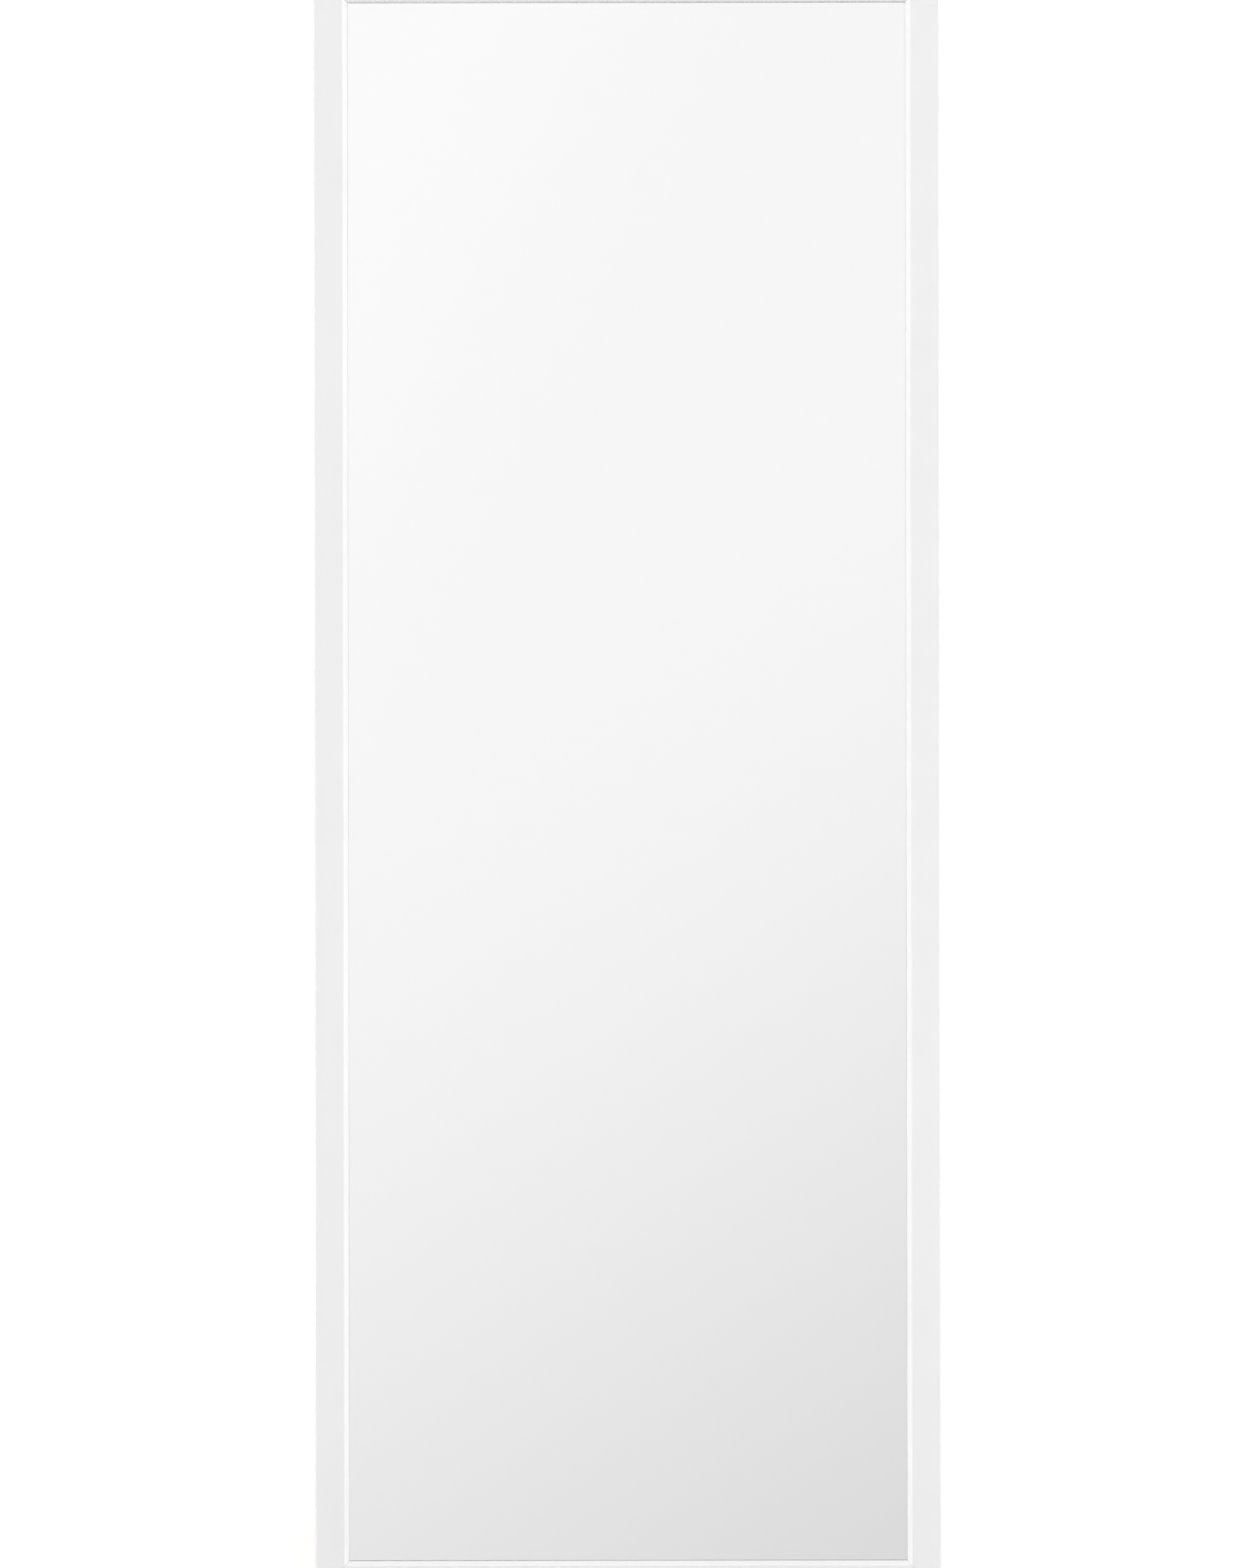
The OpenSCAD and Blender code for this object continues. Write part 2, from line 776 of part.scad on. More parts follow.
// Button-headed bolt from the outer side, with its head's seat on the outer ear
module pivot_bolt(right) {
    color(zinc) leaned() at_pivot(right) translate([-channel_out, 0, 0]) rotate([0, 90, 0]) {
        rotate_extrude() polygon([[0, 0], [bolt_r, 0], [bolt_r, bolt_len - bolt_end_bevel],
            [bolt_r - bolt_end_bevel, bolt_len], [0, bolt_len]]);
        mirror([0, 0, 1]) difference() {
            domed_head(bolt_head_r, bolt_head_h, bolt_rim);
            translate([0, 0, bolt_head_h - socket_depth])
                cylinder(h = socket_depth + cut, r = socket_af / 2 / cos(30), $fn = 6);
        }
    }
}

module pivot_bolt_left() {
    pivot_bolt(0);
}

module pivot_bolt_right() {
    pivot_bolt(1);
}

module pivot_nut(right) {
    color(zinc) leaned() at_pivot(right) translate([channel_out, 0, 0]) rotate([0, 90, 0])
        difference() {
            union() {
                cylinder(h = nut_h, r = nut_af / 2 / cos(30), $fn = 6);
                cylinder(h = nut_h + nut_collar_h, r = nut_collar_r);
            }
            translate([0, 0, -cut])
                cylinder(h = nut_h + nut_collar_h + 2 * cut, r = bolt_r + bush_bore_gap);
        }
}

module pivot_nut_left() {
    pivot_nut(0);
}

module pivot_nut_right() {
    pivot_nut(1);
}

// Nylon bush clamped between the ears, which the leg turns on
module pivot_bush(right) {
    color(nylon) leaned() at_pivot(right) rotate([0, 90, 0]) difference() {
        cylinder(h = 2 * channel_in, r = bush_r, center = true);
        cylinder(h = 2 * channel_in + 2 * cut, r = bolt_r + bush_bore_gap, center = true);
    }
}

module pivot_bush_left() {
    pivot_bush(0);
}

module pivot_bush_right() {
    pivot_bush(1);
}

module at_buffer() {
    translate([leg_inset, 0, buffer_u]) out_of_back() children();
}

module stand_buffer(right) {
    color(rubber_grey) leaned() from_corner(right, 0) at_buffer() {
        translate([0, 0, -buffer_stem]) cylinder(h = buffer_stem, r = buffer_stem_r);
        rotate_extrude() {
            square([buffer_r, buffer_h - buffer_round]);
            square([buffer_r - buffer_round, buffer_h]);
            translate([buffer_r - buffer_round, buffer_h - buffer_round]) circle(buffer_round);
        }
    }
}

module stand_buffer_left() {
    stand_buffer(0);
}

module stand_buffer_right() {
    stand_buffer(1);
}

module tube_section() {
    difference() {
        circle(tube_r);
        circle(tube_r - tube_wall);
    }
}

// One tube bent into a U: two legs, two quarter bends and the bar on the floor
module stand_tube() {
    color(white_foil) opened() difference() {
        union() {
            translate([0, 0, -leg_len]) rotate([0, 90, 0])
                linear_extrude(2 * bar_half, center = true) tube_section();
            for (side = [0, 1]) mirror([side, 0, 0]) {
                translate([bar_half, 0, bend_r - leg_len]) rotate([90, 0, 0]) rotate(-90)
                    rotate_extrude(angle = 90) translate([bend_r, 0]) tube_section();
                translate([leg_x, 0, bend_r - leg_len])
                    linear_extrude(leg_len - bend_r + tube_over) tube_section();
            }
        }
        rotate([0, 90, 0]) for (side = [-1, 1]) translate([0, 0, side * leg_x])
            cylinder(h = 2 * tube_r + 2 * cut, r = bush_r + bush_run_gap, center = true);
    }
}

// Plug in the end of a leg, with a flat that lands on the bracket when it is open
module stop_cap(right) {
    stem_r = tube_r - tube_wall - cap_gap;
    color(nylon) opened() mirror([right, 0, 0]) translate([-leg_x, 0, 0]) difference() {
        union() {
            translate([0, 0, tube_over - cap_stem]) cylinder(h = cap_stem, r = stem_r);
            translate([0, 0, tube_over]) rotate_extrude() {
                square([tube_r, cap_end - tube_over - cap_round]);
                square([tube_r - cap_round, cap_end - tube_over]);
                translate([tube_r - cap_round, cap_end - tube_over - cap_round])
                    circle(cap_round);
            }
        }
        rotate([-open_angle, 0, 0]) translate([-tube_r - cut, -plate_gap_y - tube_r, 0])
            cube([2 * (tube_r + cut), tube_r, 2 * cap_end]);
    }
}

module stop_cap_left() {
    stop_cap(0);
}

module stop_cap_right() {
    stop_cap(1);
}

// Grooved rubber sleeve on the bar
module stand_foot(right) {
    groove_step = foot_len / (foot_grooves + 1);
    bore_r = tube_r + foot_gap;
    color(rubber_grey) opened() mirror([right, 0, 0])
        translate([-foot_x - foot_len / 2, 0, -leg_len]) rotate([0, 90, 0])
            rotate_extrude() difference() {
                union() {
                    translate([bore_r, 0])
                        square([foot_r - foot_round - bore_r, foot_len]);
                    translate([bore_r, foot_round])
                        square([foot_r - bore_r, foot_len - 2 * foot_round]);
                    for (end = [foot_round, foot_len - foot_round])
                        translate([foot_r - foot_round, end]) intersection() {
                            circle(foot_round);
                            translate([-cut / 2, -foot_round])
                                square([foot_round + cut, 2 * foot_round]);
                        }
                }
                for (i = [1 : foot_grooves])
                    translate([foot_r - groove_depth, i * groove_step - groove_w / 2])
                        square([groove_depth + cut, groove_w]);
            }
}

module stand_foot_left() {
    stand_foot(0);
}

module stand_foot_right() {
    stand_foot(1);
}

left_stile();
right_stile();
top_rail();
bottom_rail();
mirror_glass();
setting_blocks();
packing_board();
back_panel();
panel_clips();
panel_clip_screws();
corner_plate_bottom_left();
corner_plate_bottom_right();
corner_plate_top_left();
corner_plate_top_right();
corner_plate_screws();
mitre_dowels();
hanger_plate_left();
hanger_plate_right();
hanger_screws();
foot_pad_left();
foot_pad_right();
foot_pad_screws();
hinge_bracket_left();
hinge_bracket_right();
hinge_bracket_screws();
pivot_bolt_left();
pivot_bolt_right();
pivot_nut_left();
pivot_nut_right();
pivot_bush_left();
pivot_bush_right();
stand_buffer_left();
stand_buffer_right();
stand_tube();
stop_cap_left();
stop_cap_right();
stand_foot_left();
stand_foot_right();
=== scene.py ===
import json
import math

import bmesh
import bpy
from mathutils import Matrix, Vector

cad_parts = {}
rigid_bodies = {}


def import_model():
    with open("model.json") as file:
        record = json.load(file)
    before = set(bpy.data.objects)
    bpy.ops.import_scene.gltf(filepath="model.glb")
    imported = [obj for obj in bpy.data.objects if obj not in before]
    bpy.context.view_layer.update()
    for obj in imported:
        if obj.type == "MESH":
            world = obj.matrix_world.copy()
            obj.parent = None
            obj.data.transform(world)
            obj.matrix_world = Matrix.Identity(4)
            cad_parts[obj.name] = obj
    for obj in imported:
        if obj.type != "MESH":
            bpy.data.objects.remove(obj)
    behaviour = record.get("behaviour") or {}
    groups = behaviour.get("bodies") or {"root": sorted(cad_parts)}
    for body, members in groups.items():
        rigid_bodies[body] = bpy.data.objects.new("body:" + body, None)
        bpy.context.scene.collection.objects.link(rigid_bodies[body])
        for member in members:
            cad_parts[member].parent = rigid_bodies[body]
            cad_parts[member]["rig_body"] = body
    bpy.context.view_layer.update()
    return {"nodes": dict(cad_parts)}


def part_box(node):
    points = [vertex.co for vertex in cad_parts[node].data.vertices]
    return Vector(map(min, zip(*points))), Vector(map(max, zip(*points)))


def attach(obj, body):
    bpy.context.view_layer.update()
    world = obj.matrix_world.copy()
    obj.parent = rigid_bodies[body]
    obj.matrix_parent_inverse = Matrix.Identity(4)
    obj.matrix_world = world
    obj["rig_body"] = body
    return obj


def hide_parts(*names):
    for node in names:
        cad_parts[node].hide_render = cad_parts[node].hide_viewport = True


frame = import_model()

scene = bpy.context.scene

# FRAME MOULDING
# Four lengths of MDF moulding, wrapped in white decor foil in a profile wrapping line and
# sawn at 45 degrees. The foil turns 6 mm round onto the back. Behind it the fibreboard is raw.
LEAN = math.radians(9)
FRAME_HALF_WIDTH = 0.325
FRAME_HEIGHT = 1.690
FRAME_THICK = 0.020
LIP_DEPTH = 0.006
REBATE_EDGE = 0.027
GLASS_EDGE = 0.029
GLASS_THICK = 0.004
FOIL_EASE = 0.0004
FOIL_TURN = 0.006
FOIL_WAVER = 0.0004
FOIL_WAVER_RUN = 1 / 60
FOIL_CLOUD = 1 / 9
FOIL_PEEL = 0.0015  # the real one is about a third of this
FOIL_PEEL_DEPTH = 0.000003
FOIL_WHITE = "F1F1F1"
FOIL_SHADE = "ECECEC"
FOIL_GLOSSY, FOIL_SATIN = 0.34, 0.40
MDF_FIBRE = 0.0011
MDF_FIBRE_DEPTH = 0.00005
MDF_PALE = "BD9F78"
MDF_DARK = "9C7E55"
MDF_MATT = 0.85
BACK_MARGIN, LIP_MARGIN = 0.0002, 0.0005  # how far off a surface its mask begins
SHARE, COLOUR_A, COLOUR_B = 0, 6, 7  # the inputs of a Mix node that mixes colours
OWN_AXES = {"vector_type": "TEXTURE"}  # so a Mapping node gives a place in the pattern's axes
EASED_ANGLE = math.radians(40)
SHARP_ANGLE = math.radians(25)
FLAT_ANGLE = math.radians(0.2)
RUNS_ALONG = 0.9995  # the cosine past which an edge runs along a direction
EASE_STEPS = 3
FLATS_WEIGHT = 80
MERGE_DISTANCE = 0.000001

# The leaned frame's own corner, from where the glass lies in its rebate
glass_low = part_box("mirror_glass")[0]
FRAME_Y = glass_low.y - GLASS_EDGE * math.sin(LEAN) - LIP_DEPTH * math.cos(LEAN)
FRAME_Z = (glass_low.z - GLASS_EDGE * math.cos(LEAN)
           + (LIP_DEPTH + GLASS_THICK) * math.sin(LEAN))


def linear(code):
    """A colour written as sRGB hex, as the linear red, green, blue and alpha that nodes take."""
    shares = [int(code[i:i + 2], 16) / 255 for i in (0, 2, 4)]
    return [c / 12.92 if c <= 0.04045 else ((c + 0.055) / 1.055) ** 2.4
            for c in shares] + [1.0]


def add(tree, kind, settings, sockets):
    """Adds a node. sockets holds a value, or an output to link, for each input."""
    made = tree.nodes.new("ShaderNode" + kind)
    for name, value in settings.items():
        setattr(made, name, value)
    for name, value in sockets.items():
        if isinstance(value, bpy.types.NodeSocket):
            tree.links.new(value, made.inputs[name])
        else:
            made.inputs[name].default_value = value
    return made


def finish_material(name, surface_sockets):
    """A material with one Principled shader, and its tree."""
    material = bpy.data.materials.new(name)
    material.use_nodes = True
    tree = material.node_tree
    tree.nodes.clear()
    surface = add(tree, "BsdfPrincipled", {}, surface_sockets)
    add(tree, "OutputMaterial", {}, {"Surface": surface.outputs[0]})
    return material, tree, surface


def select_none():
    """Operators act on all that is selected, so each piece starts from nothing."""
    bpy.ops.object.select_all(action="DESELECT")


def merge_points():
    """Merges points that lie on one another, and takes out faces that this leaves without area."""
    bpy.ops.mesh.select_all(action="SELECT")
    bpy.ops.mesh.remove_doubles(threshold=MERGE_DISTANCE)
    bpy.ops.mesh.dissolve_degenerate(threshold=MERGE_DISTANCE)


def eased_copy(node, name, radius, along=None):
    """A new piece from a CAD node: its triangles merged, its flats made whole, and its sharp
    edges rounded, or only those that run along a direction."""
    select_none()
    piece = bpy.data.objects.new(name, frame["nodes"][node].data.copy())
    piece.data.name = name
    piece.data.materials.clear()
    scene.collection.objects.link(piece)
    bpy.context.view_layer.objects.active = piece
    piece.select_set(True)
    bpy.ops.object.mode_set(mode="EDIT")
    bpy.ops.mesh.select_mode(type="EDGE")
    merge_points()
    bpy.ops.mesh.dissolve_limited(angle_limit=FLAT_ANGLE)
    bpy.ops.mesh.customdata_custom_splitnormals_clear()
    bpy.ops.mesh.select_all(action="DESELECT")
    edit = bmesh.from_edit_mesh(piece.data)
    for edge in edit.edges:
        run = (edge.verts[1].co - edge.verts[0].co).normalized()
        if edge.is_manifold and edge.calc_face_angle() > SHARP_ANGLE:
            edge.select_set(along is None or abs(run.dot(along)) > RUNS_ALONG)
    bmesh.update_edit_mesh(piece.data)
    bpy.ops.mesh.bevel(offset=radius, segments=EASE_STEPS, affect="EDGES", clamp_overlap=True)
    merge_points()
    bpy.ops.object.mode_set(mode="OBJECT")
    bpy.ops.object.shade_smooth_by_angle(angle=EASED_ANGLE)
    flats = piece.modifiers.new("flats", "WEIGHTED_NORMAL")
    flats.weight = FLATS_WEIGHT
    flats.keep_sharp = True
    bpy.ops.object.modifier_apply(modifier="flats")
    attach(piece, frame["nodes"][node]["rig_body"])
    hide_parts(node)
    return piece


# Foil on MDF: a smooth, closed, satin skin with a fine orange peel. Where it ends, the
# pressed fibres show brown and matt.
foil, tree, surface = finish_material("white foil wrapped on MDF", {})
spot = add(tree, "TexCoord", {}, {}).outputs["Object"]
place = add(tree, "Mapping", OWN_AXES, {"Vector": spot, "Location": (0, FRAME_Y, FRAME_Z),
                                        "Rotation": (-LEAN, 0, 0)}).outputs[0]
split = add(tree, "SeparateXYZ", {}, {0: place})
across = add(tree, "Math", {"operation": "ABSOLUTE"}, {0: split.outputs[0]})
from_side = add(tree, "Math", {"operation": "SUBTRACT"},
                {0: FRAME_HALF_WIDTH, 1: across.outputs[0]})
from_top = add(tree, "Math", {"operation": "SUBTRACT"}, {0: FRAME_HEIGHT, 1: split.outputs[2]})
from_end = add(tree, "Math", {"operation": "MINIMUM"},
               {0: split.outputs[2], 1: from_top.outputs[0]})
from_edge = add(tree, "Math", {"operation": "MINIMUM"},
                {0: from_side.outputs[0], 1: from_end.outputs[0]})
waver = add(tree, "TexNoise", {}, {"Vector": place, "Scale": 1 / FOIL_WAVER_RUN, "Detail": 3})
wavered = add(tree, "Math", {"operation": "MULTIPLY_ADD"},
              {0: waver.outputs[0], 1: 2 * FOIL_WAVER, 2: from_edge.outputs[0]})
past_turn = add(tree, "Math", {"operation": "GREATER_THAN"},
                {0: wavered.outputs[0], 1: FOIL_TURN + FOIL_WAVER})
on_back = add(tree, "Math", {"operation": "GREATER_THAN"},
              {0: split.outputs[1], 1: FRAME_THICK - BACK_MARGIN})
bare_back = add(tree, "Math", {"operation": "MULTIPLY"},
                {0: past_turn.outputs[0], 1: on_back.outputs[0]})
behind_lip = add(tree, "Math", {"operation": "GREATER_THAN"},
                 {0: split.outputs[1], 1: LIP_DEPTH + LIP_MARGIN})
in_rebate = add(tree, "Math", {"operation": "GREATER_THAN"},
                {0: from_edge.outputs[0], 1: REBATE_EDGE - FOIL_EASE})
bare_rebate = add(tree, "Math", {"operation": "MULTIPLY"},
                  {0: behind_lip.outputs[0], 1: in_rebate.outputs[0]})
bare = add(tree, "Math", {"operation": "MAXIMUM"},
           {0: bare_back.outputs[0], 1: bare_rebate.outputs[0]}).outputs[0]
clouding = add(tree, "TexNoise", {}, {"Vector": place, "Scale": 1 / FOIL_CLOUD,
                                      "Detail": 2}).outputs[0]
white = add(tree, "Mix", {"data_type": "RGBA"}, {
    SHARE: clouding, COLOUR_A: linear(FOIL_WHITE), COLOUR_B: linear(FOIL_SHADE)}).outputs[2]
fibres = add(tree, "TexNoise", {}, {"Vector": place, "Scale": 1 / MDF_FIBRE, "Detail": 6,
                                    "Roughness": 0.7}).outputs[0]
brown = add(tree, "Mix", {"data_type": "RGBA"}, {
    SHARE: fibres, COLOUR_A: linear(MDF_PALE), COLOUR_B: linear(MDF_DARK)}).outputs[2]
skin = add(tree, "Mix", {"data_type": "RGBA"}, {SHARE: bare, COLOUR_A: white, COLOUR_B: brown})
tree.links.new(skin.outputs[2], surface.inputs["Base Color"])
sheen = add(tree, "MapRange", {}, {"Value": clouding, "To Min": FOIL_GLOSSY,
                                   "To Max": FOIL_SATIN})
matt = add(tree, "Mix", {}, {"Factor": bare, "A": sheen.outputs[0], "B": MDF_MATT})
tree.links.new(matt.outputs[0], surface.inputs["Roughness"])
peel = add(tree, "TexNoise", {}, {"Vector": place, "Scale": 1 / FOIL_PEEL, "Detail": 2})
height = add(tree, "Mix", {}, {"Factor": bare, "A": peel.outputs[0], "B": fibres})
depth = add(tree, "MapRange", {}, {"Value": bare, "To Min": FOIL_PEEL_DEPTH,
                                   "To Max": MDF_FIBRE_DEPTH})
relief = add(tree, "Math", {"operation": "MULTIPLY"}, {0: height.outputs[0],
                                                      1: depth.outputs[0]})
bump = add(tree, "Bump", {}, {"Height": relief.outputs[0], "Distance": 1.0})
tree.links.new(bump.outputs[0], surface.inputs["Normal"])

up_the_frame = Vector((0, math.sin(LEAN), math.cos(LEAN)))
for node, along in (("left_stile", up_the_frame), ("right_stile", up_the_frame),
                    ("top_rail", Vector((1, 0, 0))), ("bottom_rail", Vector((1, 0, 0)))):
    member = eased_copy(node, node + "_moulding", FOIL_EASE, along)
    member.data.materials.append(foil)

# MIRROR GLASS
# A pane of 4 mm float glass, silvered on its back. The eye sees through the glass to the
# silver, so the frame's lip stands a little apart from its own reflection.
PANE_PLAY = 0.0001
SILVER_THICK = 0.0001
SILVER = "F9F9F9"
ARRIS = 0.0004
ARRIS_SHARE = 0.3  # of a thin sheet's thickness
GLASS_IOR = 1.52
FLOAT_RIPPLE = 0.09
FLOAT_RIPPLE_DEPTH = 0.000004


def settle(piece, name, place):
    """Names a finished piece and puts its place into its mesh."""
    piece.name = piece.data.name = name
    bpy.context.view_layer.update()
    piece.data.transform(place @ piece.matrix_world)
    piece.matrix_world = Matrix.Identity(4)
    piece.data.update()


def sheet_of(name, width, depth, thick, height, low):
    """A cut sheet standing in the rebate, with its arrises taken off."""
    select_none()
    bpy.ops.mesh.primitive_cube_add(size=1, location=(0, depth + thick / 2, low + height / 2),
                                    scale=(width, thick, height))
    piece = bpy.context.object
    bpy.ops.object.transform_apply(location=True, rotation=False, scale=True)
    arris = piece.modifiers.new("arris", "BEVEL")
    arris.width = min(ARRIS, thick * ARRIS_SHARE)
    arris.segments = 1
    bpy.ops.object.modifier_apply(modifier="arris")
    settle(piece, name, leaned)
    return piece


leaned = Matrix.Translation((0, FRAME_Y, FRAME_Z)) @ Matrix.Rotation(-LEAN, 4, "X")
sheet_width = 2 * (FRAME_HALF_WIDTH - GLASS_EDGE)
sheet_height = FRAME_HEIGHT - 2 * GLASS_EDGE
pane = sheet_of("mirror_glass_pane", sheet_width, LIP_DEPTH + PANE_PLAY,
                GLASS_THICK - 2 * PANE_PLAY - SILVER_THICK, sheet_height, GLASS_EDGE)
# Float glass: clear and flat, but for a ripple too slight to see except along a reflected line
clear, tree, surface = finish_material("clear float glass", {
    "Base Color": (1, 1, 1, 1), "Roughness": 0.0, "IOR": GLASS_IOR, "Transmission Weight": 1.0})
spot = add(tree, "TexCoord", {}, {}).outputs["Object"]
ripple = add(tree, "TexNoise", {}, {"Vector": spot, "Scale": 1 / FLOAT_RIPPLE, "Detail": 0})
bump = add(tree, "Bump", {}, {"Height": ripple.outputs[0], "Distance": FLOAT_RIPPLE_DEPTH})
tree.links.new(bump.outputs[0], surface.inputs["Normal"])
pane.data.materials.append(clear)
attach(pane, "mirror")
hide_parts("mirror_glass")

silver = sheet_of("mirror_silvering", sheet_width,
                  LIP_DEPTH + GLASS_THICK - PANE_PLAY / 2 - SILVER_THICK,
                  SILVER_THICK / 2, sheet_height, GLASS_EDGE)
# Silver laid on wet glass: as smooth as the glass, and nearly all light comes back from it
bright, tree, surface = finish_material("silver coat behind glass", {
    "Base Color": linear(SILVER), "Metallic": 1.0, "Roughness": 0.0})
silver.data.materials.append(bright)
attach(silver, "mirror")
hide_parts("mirror_glass")

# SETTING BLOCKS
# Two pads of extruded rubber, cut to length and laid in the rebate. They carry the glass, so
# that it never stands on the fibreboard.
BLOCK_GREY = "4A4B4C"
BLOCK_GRIT = 0.0009  # the real one is about a third of this
BLOCK_GRIT_DEPTH = 0.00005
BLOCK_MATT = 0.78
BLOOM_GREY = "8B8A86"
BLOOM_CLOUD = 1 / 45
BLOOM_START, BLOOM_END = 0.35, 0.75
BLOOM_MOST = 0.16
BLOOM_RUBBED, BLOOM_DULL = -0.06, 0.08  # what wear and bloom change in the roughness


def rubber_skin(name, colour, grit, depth, roughness):
    """Rubber: dark and matt, with a faint grey bloom, its skin grained by its mould or die."""
    material, tree, surface = finish_material(name, {})
    spot = add(tree, "TexCoord", {}, {}).outputs["Object"]
    cloud = add(tree, "TexNoise", {}, {"Vector": spot, "Scale": 1 / BLOOM_CLOUD,
                                       "Detail": 4}).outputs[0]
    bloom = add(tree, "MapRange", {}, {"Value": cloud, "From Min": BLOOM_START,
                                       "From Max": BLOOM_END, "To Min": 0.0,
                                       "To Max": BLOOM_MOST})
    tint = add(tree, "Mix", {"data_type": "RGBA"}, {
        SHARE: bloom.outputs[0], COLOUR_A: linear(colour), COLOUR_B: linear(BLOOM_GREY)})
    tree.links.new(tint.outputs[2], surface.inputs["Base Color"])
    matt = add(tree, "MapRange", {}, {"Value": cloud, "To Min": roughness + BLOOM_RUBBED,
                                      "To Max": roughness + BLOOM_DULL})
    tree.links.new(matt.outputs[0], surface.inputs["Roughness"])
    grain = add(tree, "TexNoise", {}, {"Vector": spot, "Scale": 1 / grit, "Detail": 3,
                                       "Roughness": 0.65})
    bump = add(tree, "Bump", {}, {"Height": grain.outputs[0], "Distance": depth})
    tree.links.new(bump.outputs[0], surface.inputs["Normal"])
    return material


def dress(names, material):
    """Puts a material on CAD nodes."""
    for name in names:
        node = frame["nodes"][name]
        if not node.material_slots:
            node.data.materials.append(None)
        for used in node.material_slots:
            used.material = material


dress(["setting_blocks"], rubber_skin("extruded EPDM rubber", BLOCK_GREY, BLOCK_GRIT,
                                      BLOCK_GRIT_DEPTH, BLOCK_MATT))

# PACKING BOARD
# Single-wall corrugated board, cut to the rebate and laid behind the glass to press it to the
# lip. Its brown liner shows faint lines over the flutes.
KRAFT = "B28D62"
KRAFT_DARK = "9C774E"
KRAFT_PULP = 0.00125
KRAFT_MATT = 0.88
FLUTE_PITCH = 0.0065
FLUTE_DEPTH = 0.0001
FLUTE_SHADE = 0.3
BAND = math.pi / 10  # how far apart a Wave node draws its bands at a scale of 1
kraft, tree, surface = finish_material("corrugated kraft board", {"Roughness": KRAFT_MATT})
spot = add(tree, "TexCoord", {}, {}).outputs["Object"]
pulp = add(tree, "TexNoise", {}, {"Vector": spot, "Scale": 1 / KRAFT_PULP, "Detail": 5})
flutes = add(tree, "TexWave", {"bands_direction": "X", "wave_profile": "SIN"},
             {"Vector": spot, "Scale": BAND / FLUTE_PITCH, "Distortion": 0.4, "Detail": 1})
lined = add(tree, "Math", {"operation": "MULTIPLY_ADD"},
            {0: flutes.outputs["Fac"], 1: FLUTE_SHADE, 2: pulp.outputs[0]})
liner = add(tree, "Mix", {"data_type": "RGBA"}, {
    SHARE: lined.outputs[0], COLOUR_A: linear(KRAFT), COLOUR_B: linear(KRAFT_DARK)})
tree.links.new(liner.outputs[2], surface.inputs["Base Color"])
bump = add(tree, "Bump", {}, {"Height": flutes.outputs["Fac"], "Distance": FLUTE_DEPTH})
tree.links.new(bump.outputs[0], surface.inputs["Normal"])
dress(["packing_board"], kraft)

# BACK PANEL
# 3 mm hardboard, pressed hot from wood fibre and sawn to size: brown and hard, smooth and
# faintly waxy on this side, with pale fibres and dark flecks of bark in it.
PANEL_BROWN = "8A6747"
PANEL_DARK = "765437"
PANEL_FIBRE = "AC8966"
PANEL_BARK = "4C3422"
PANEL_CLOUD = 1 / 7
PANEL_CLOUD_LOW, PANEL_CLOUD_HIGH = 0.34, 0.66
PANEL_CLOUD_SHADE = 0.32
PANEL_GLOSSY, PANEL_MATT = 0.46, 0.66
PULP = 1 / 260
PULP_SHADE, PULP_START = 0.9, -0.22
PULP_LOW, PULP_HIGH = 0.3, 0.7
FIBRE_LENGTH = 0.007
FIBRE_WIDTH = 0.0009
FIBRE_DEPTH = 0.00005
FIBRE_TURNS = (0.2, 1.3, 2.2)
FIBRE_EDGE, FIBRE_CORE = 0.64, 0.74
FIBRE_SHOWN = 0.5
FIBRE_RAISED = 0.8
BARK_SPACING = 0.011
BARK_RAGGED = 0.35
BARK_EDGE, BARK_CORE = 0.26, 0.22
BARK_SHOWN = 0.75
hardboard, tree, surface = finish_material("hot pressed hardboard", {})
spot = add(tree, "TexCoord", {}, {}).outputs["Object"]
place = add(tree, "Mapping", OWN_AXES, {"Vector": spot, "Location": (0, FRAME_Y, FRAME_Z),
                                        "Rotation": (-LEAN, 0, 0)}).outputs[0]
cloud = add(tree, "TexNoise", {}, {"Vector": place, "Scale": 1 / PANEL_CLOUD, "Detail": 5,
                                   "Roughness": 0.6})
cloudy = add(tree, "MapRange", {}, {"Value": cloud.outputs[0], "From Min": PANEL_CLOUD_LOW,
                                    "From Max": PANEL_CLOUD_HIGH})
pulp = add(tree, "TexNoise", {}, {"Vector": place, "Scale": 1 / PULP, "Detail": 7,
                                  "Roughness": 0.72}).outputs[0]
ground = add(tree, "Math", {"operation": "MULTIPLY_ADD"}, {0: pulp, 1: PULP_SHADE,
                                                          2: PULP_START})
ground = add(tree, "Math", {"operation": "MULTIPLY_ADD"},
             {0: cloudy.outputs[0], 1: PANEL_CLOUD_SHADE, 2: ground.outputs[0]})
board = add(tree, "Mix", {"data_type": "RGBA"}, {
    SHARE: ground.outputs[0], COLOUR_A: linear(PANEL_BROWN), COLOUR_B: linear(PANEL_DARK)})
strands = 0
for turn in FIBRE_TURNS:
    laid = add(tree, "Mapping", OWN_AXES,
               {"Vector": place, "Rotation": (0, turn, 0),
                "Scale": (FIBRE_WIDTH, FIBRE_LENGTH, FIBRE_LENGTH)})
    strand = add(tree, "TexNoise", {}, {"Vector": laid.outputs[0], "Scale": 1, "Detail": 2,
                                        "Distortion": 0.8})
    thin = add(tree, "MapRange", {}, {"Value": strand.outputs[0], "From Min": FIBRE_EDGE,
                                      "From Max": FIBRE_CORE, "To Min": 0.0,
                                      "To Max": FIBRE_SHOWN})
    strands = add(tree, "Math", {"operation": "MAXIMUM"}, {0: strands,
                                                          1: thin.outputs[0]}).outputs[0]
board = add(tree, "Mix", {"data_type": "RGBA"}, {
    SHARE: strands, COLOUR_A: board.outputs[2], COLOUR_B: linear(PANEL_FIBRE)})
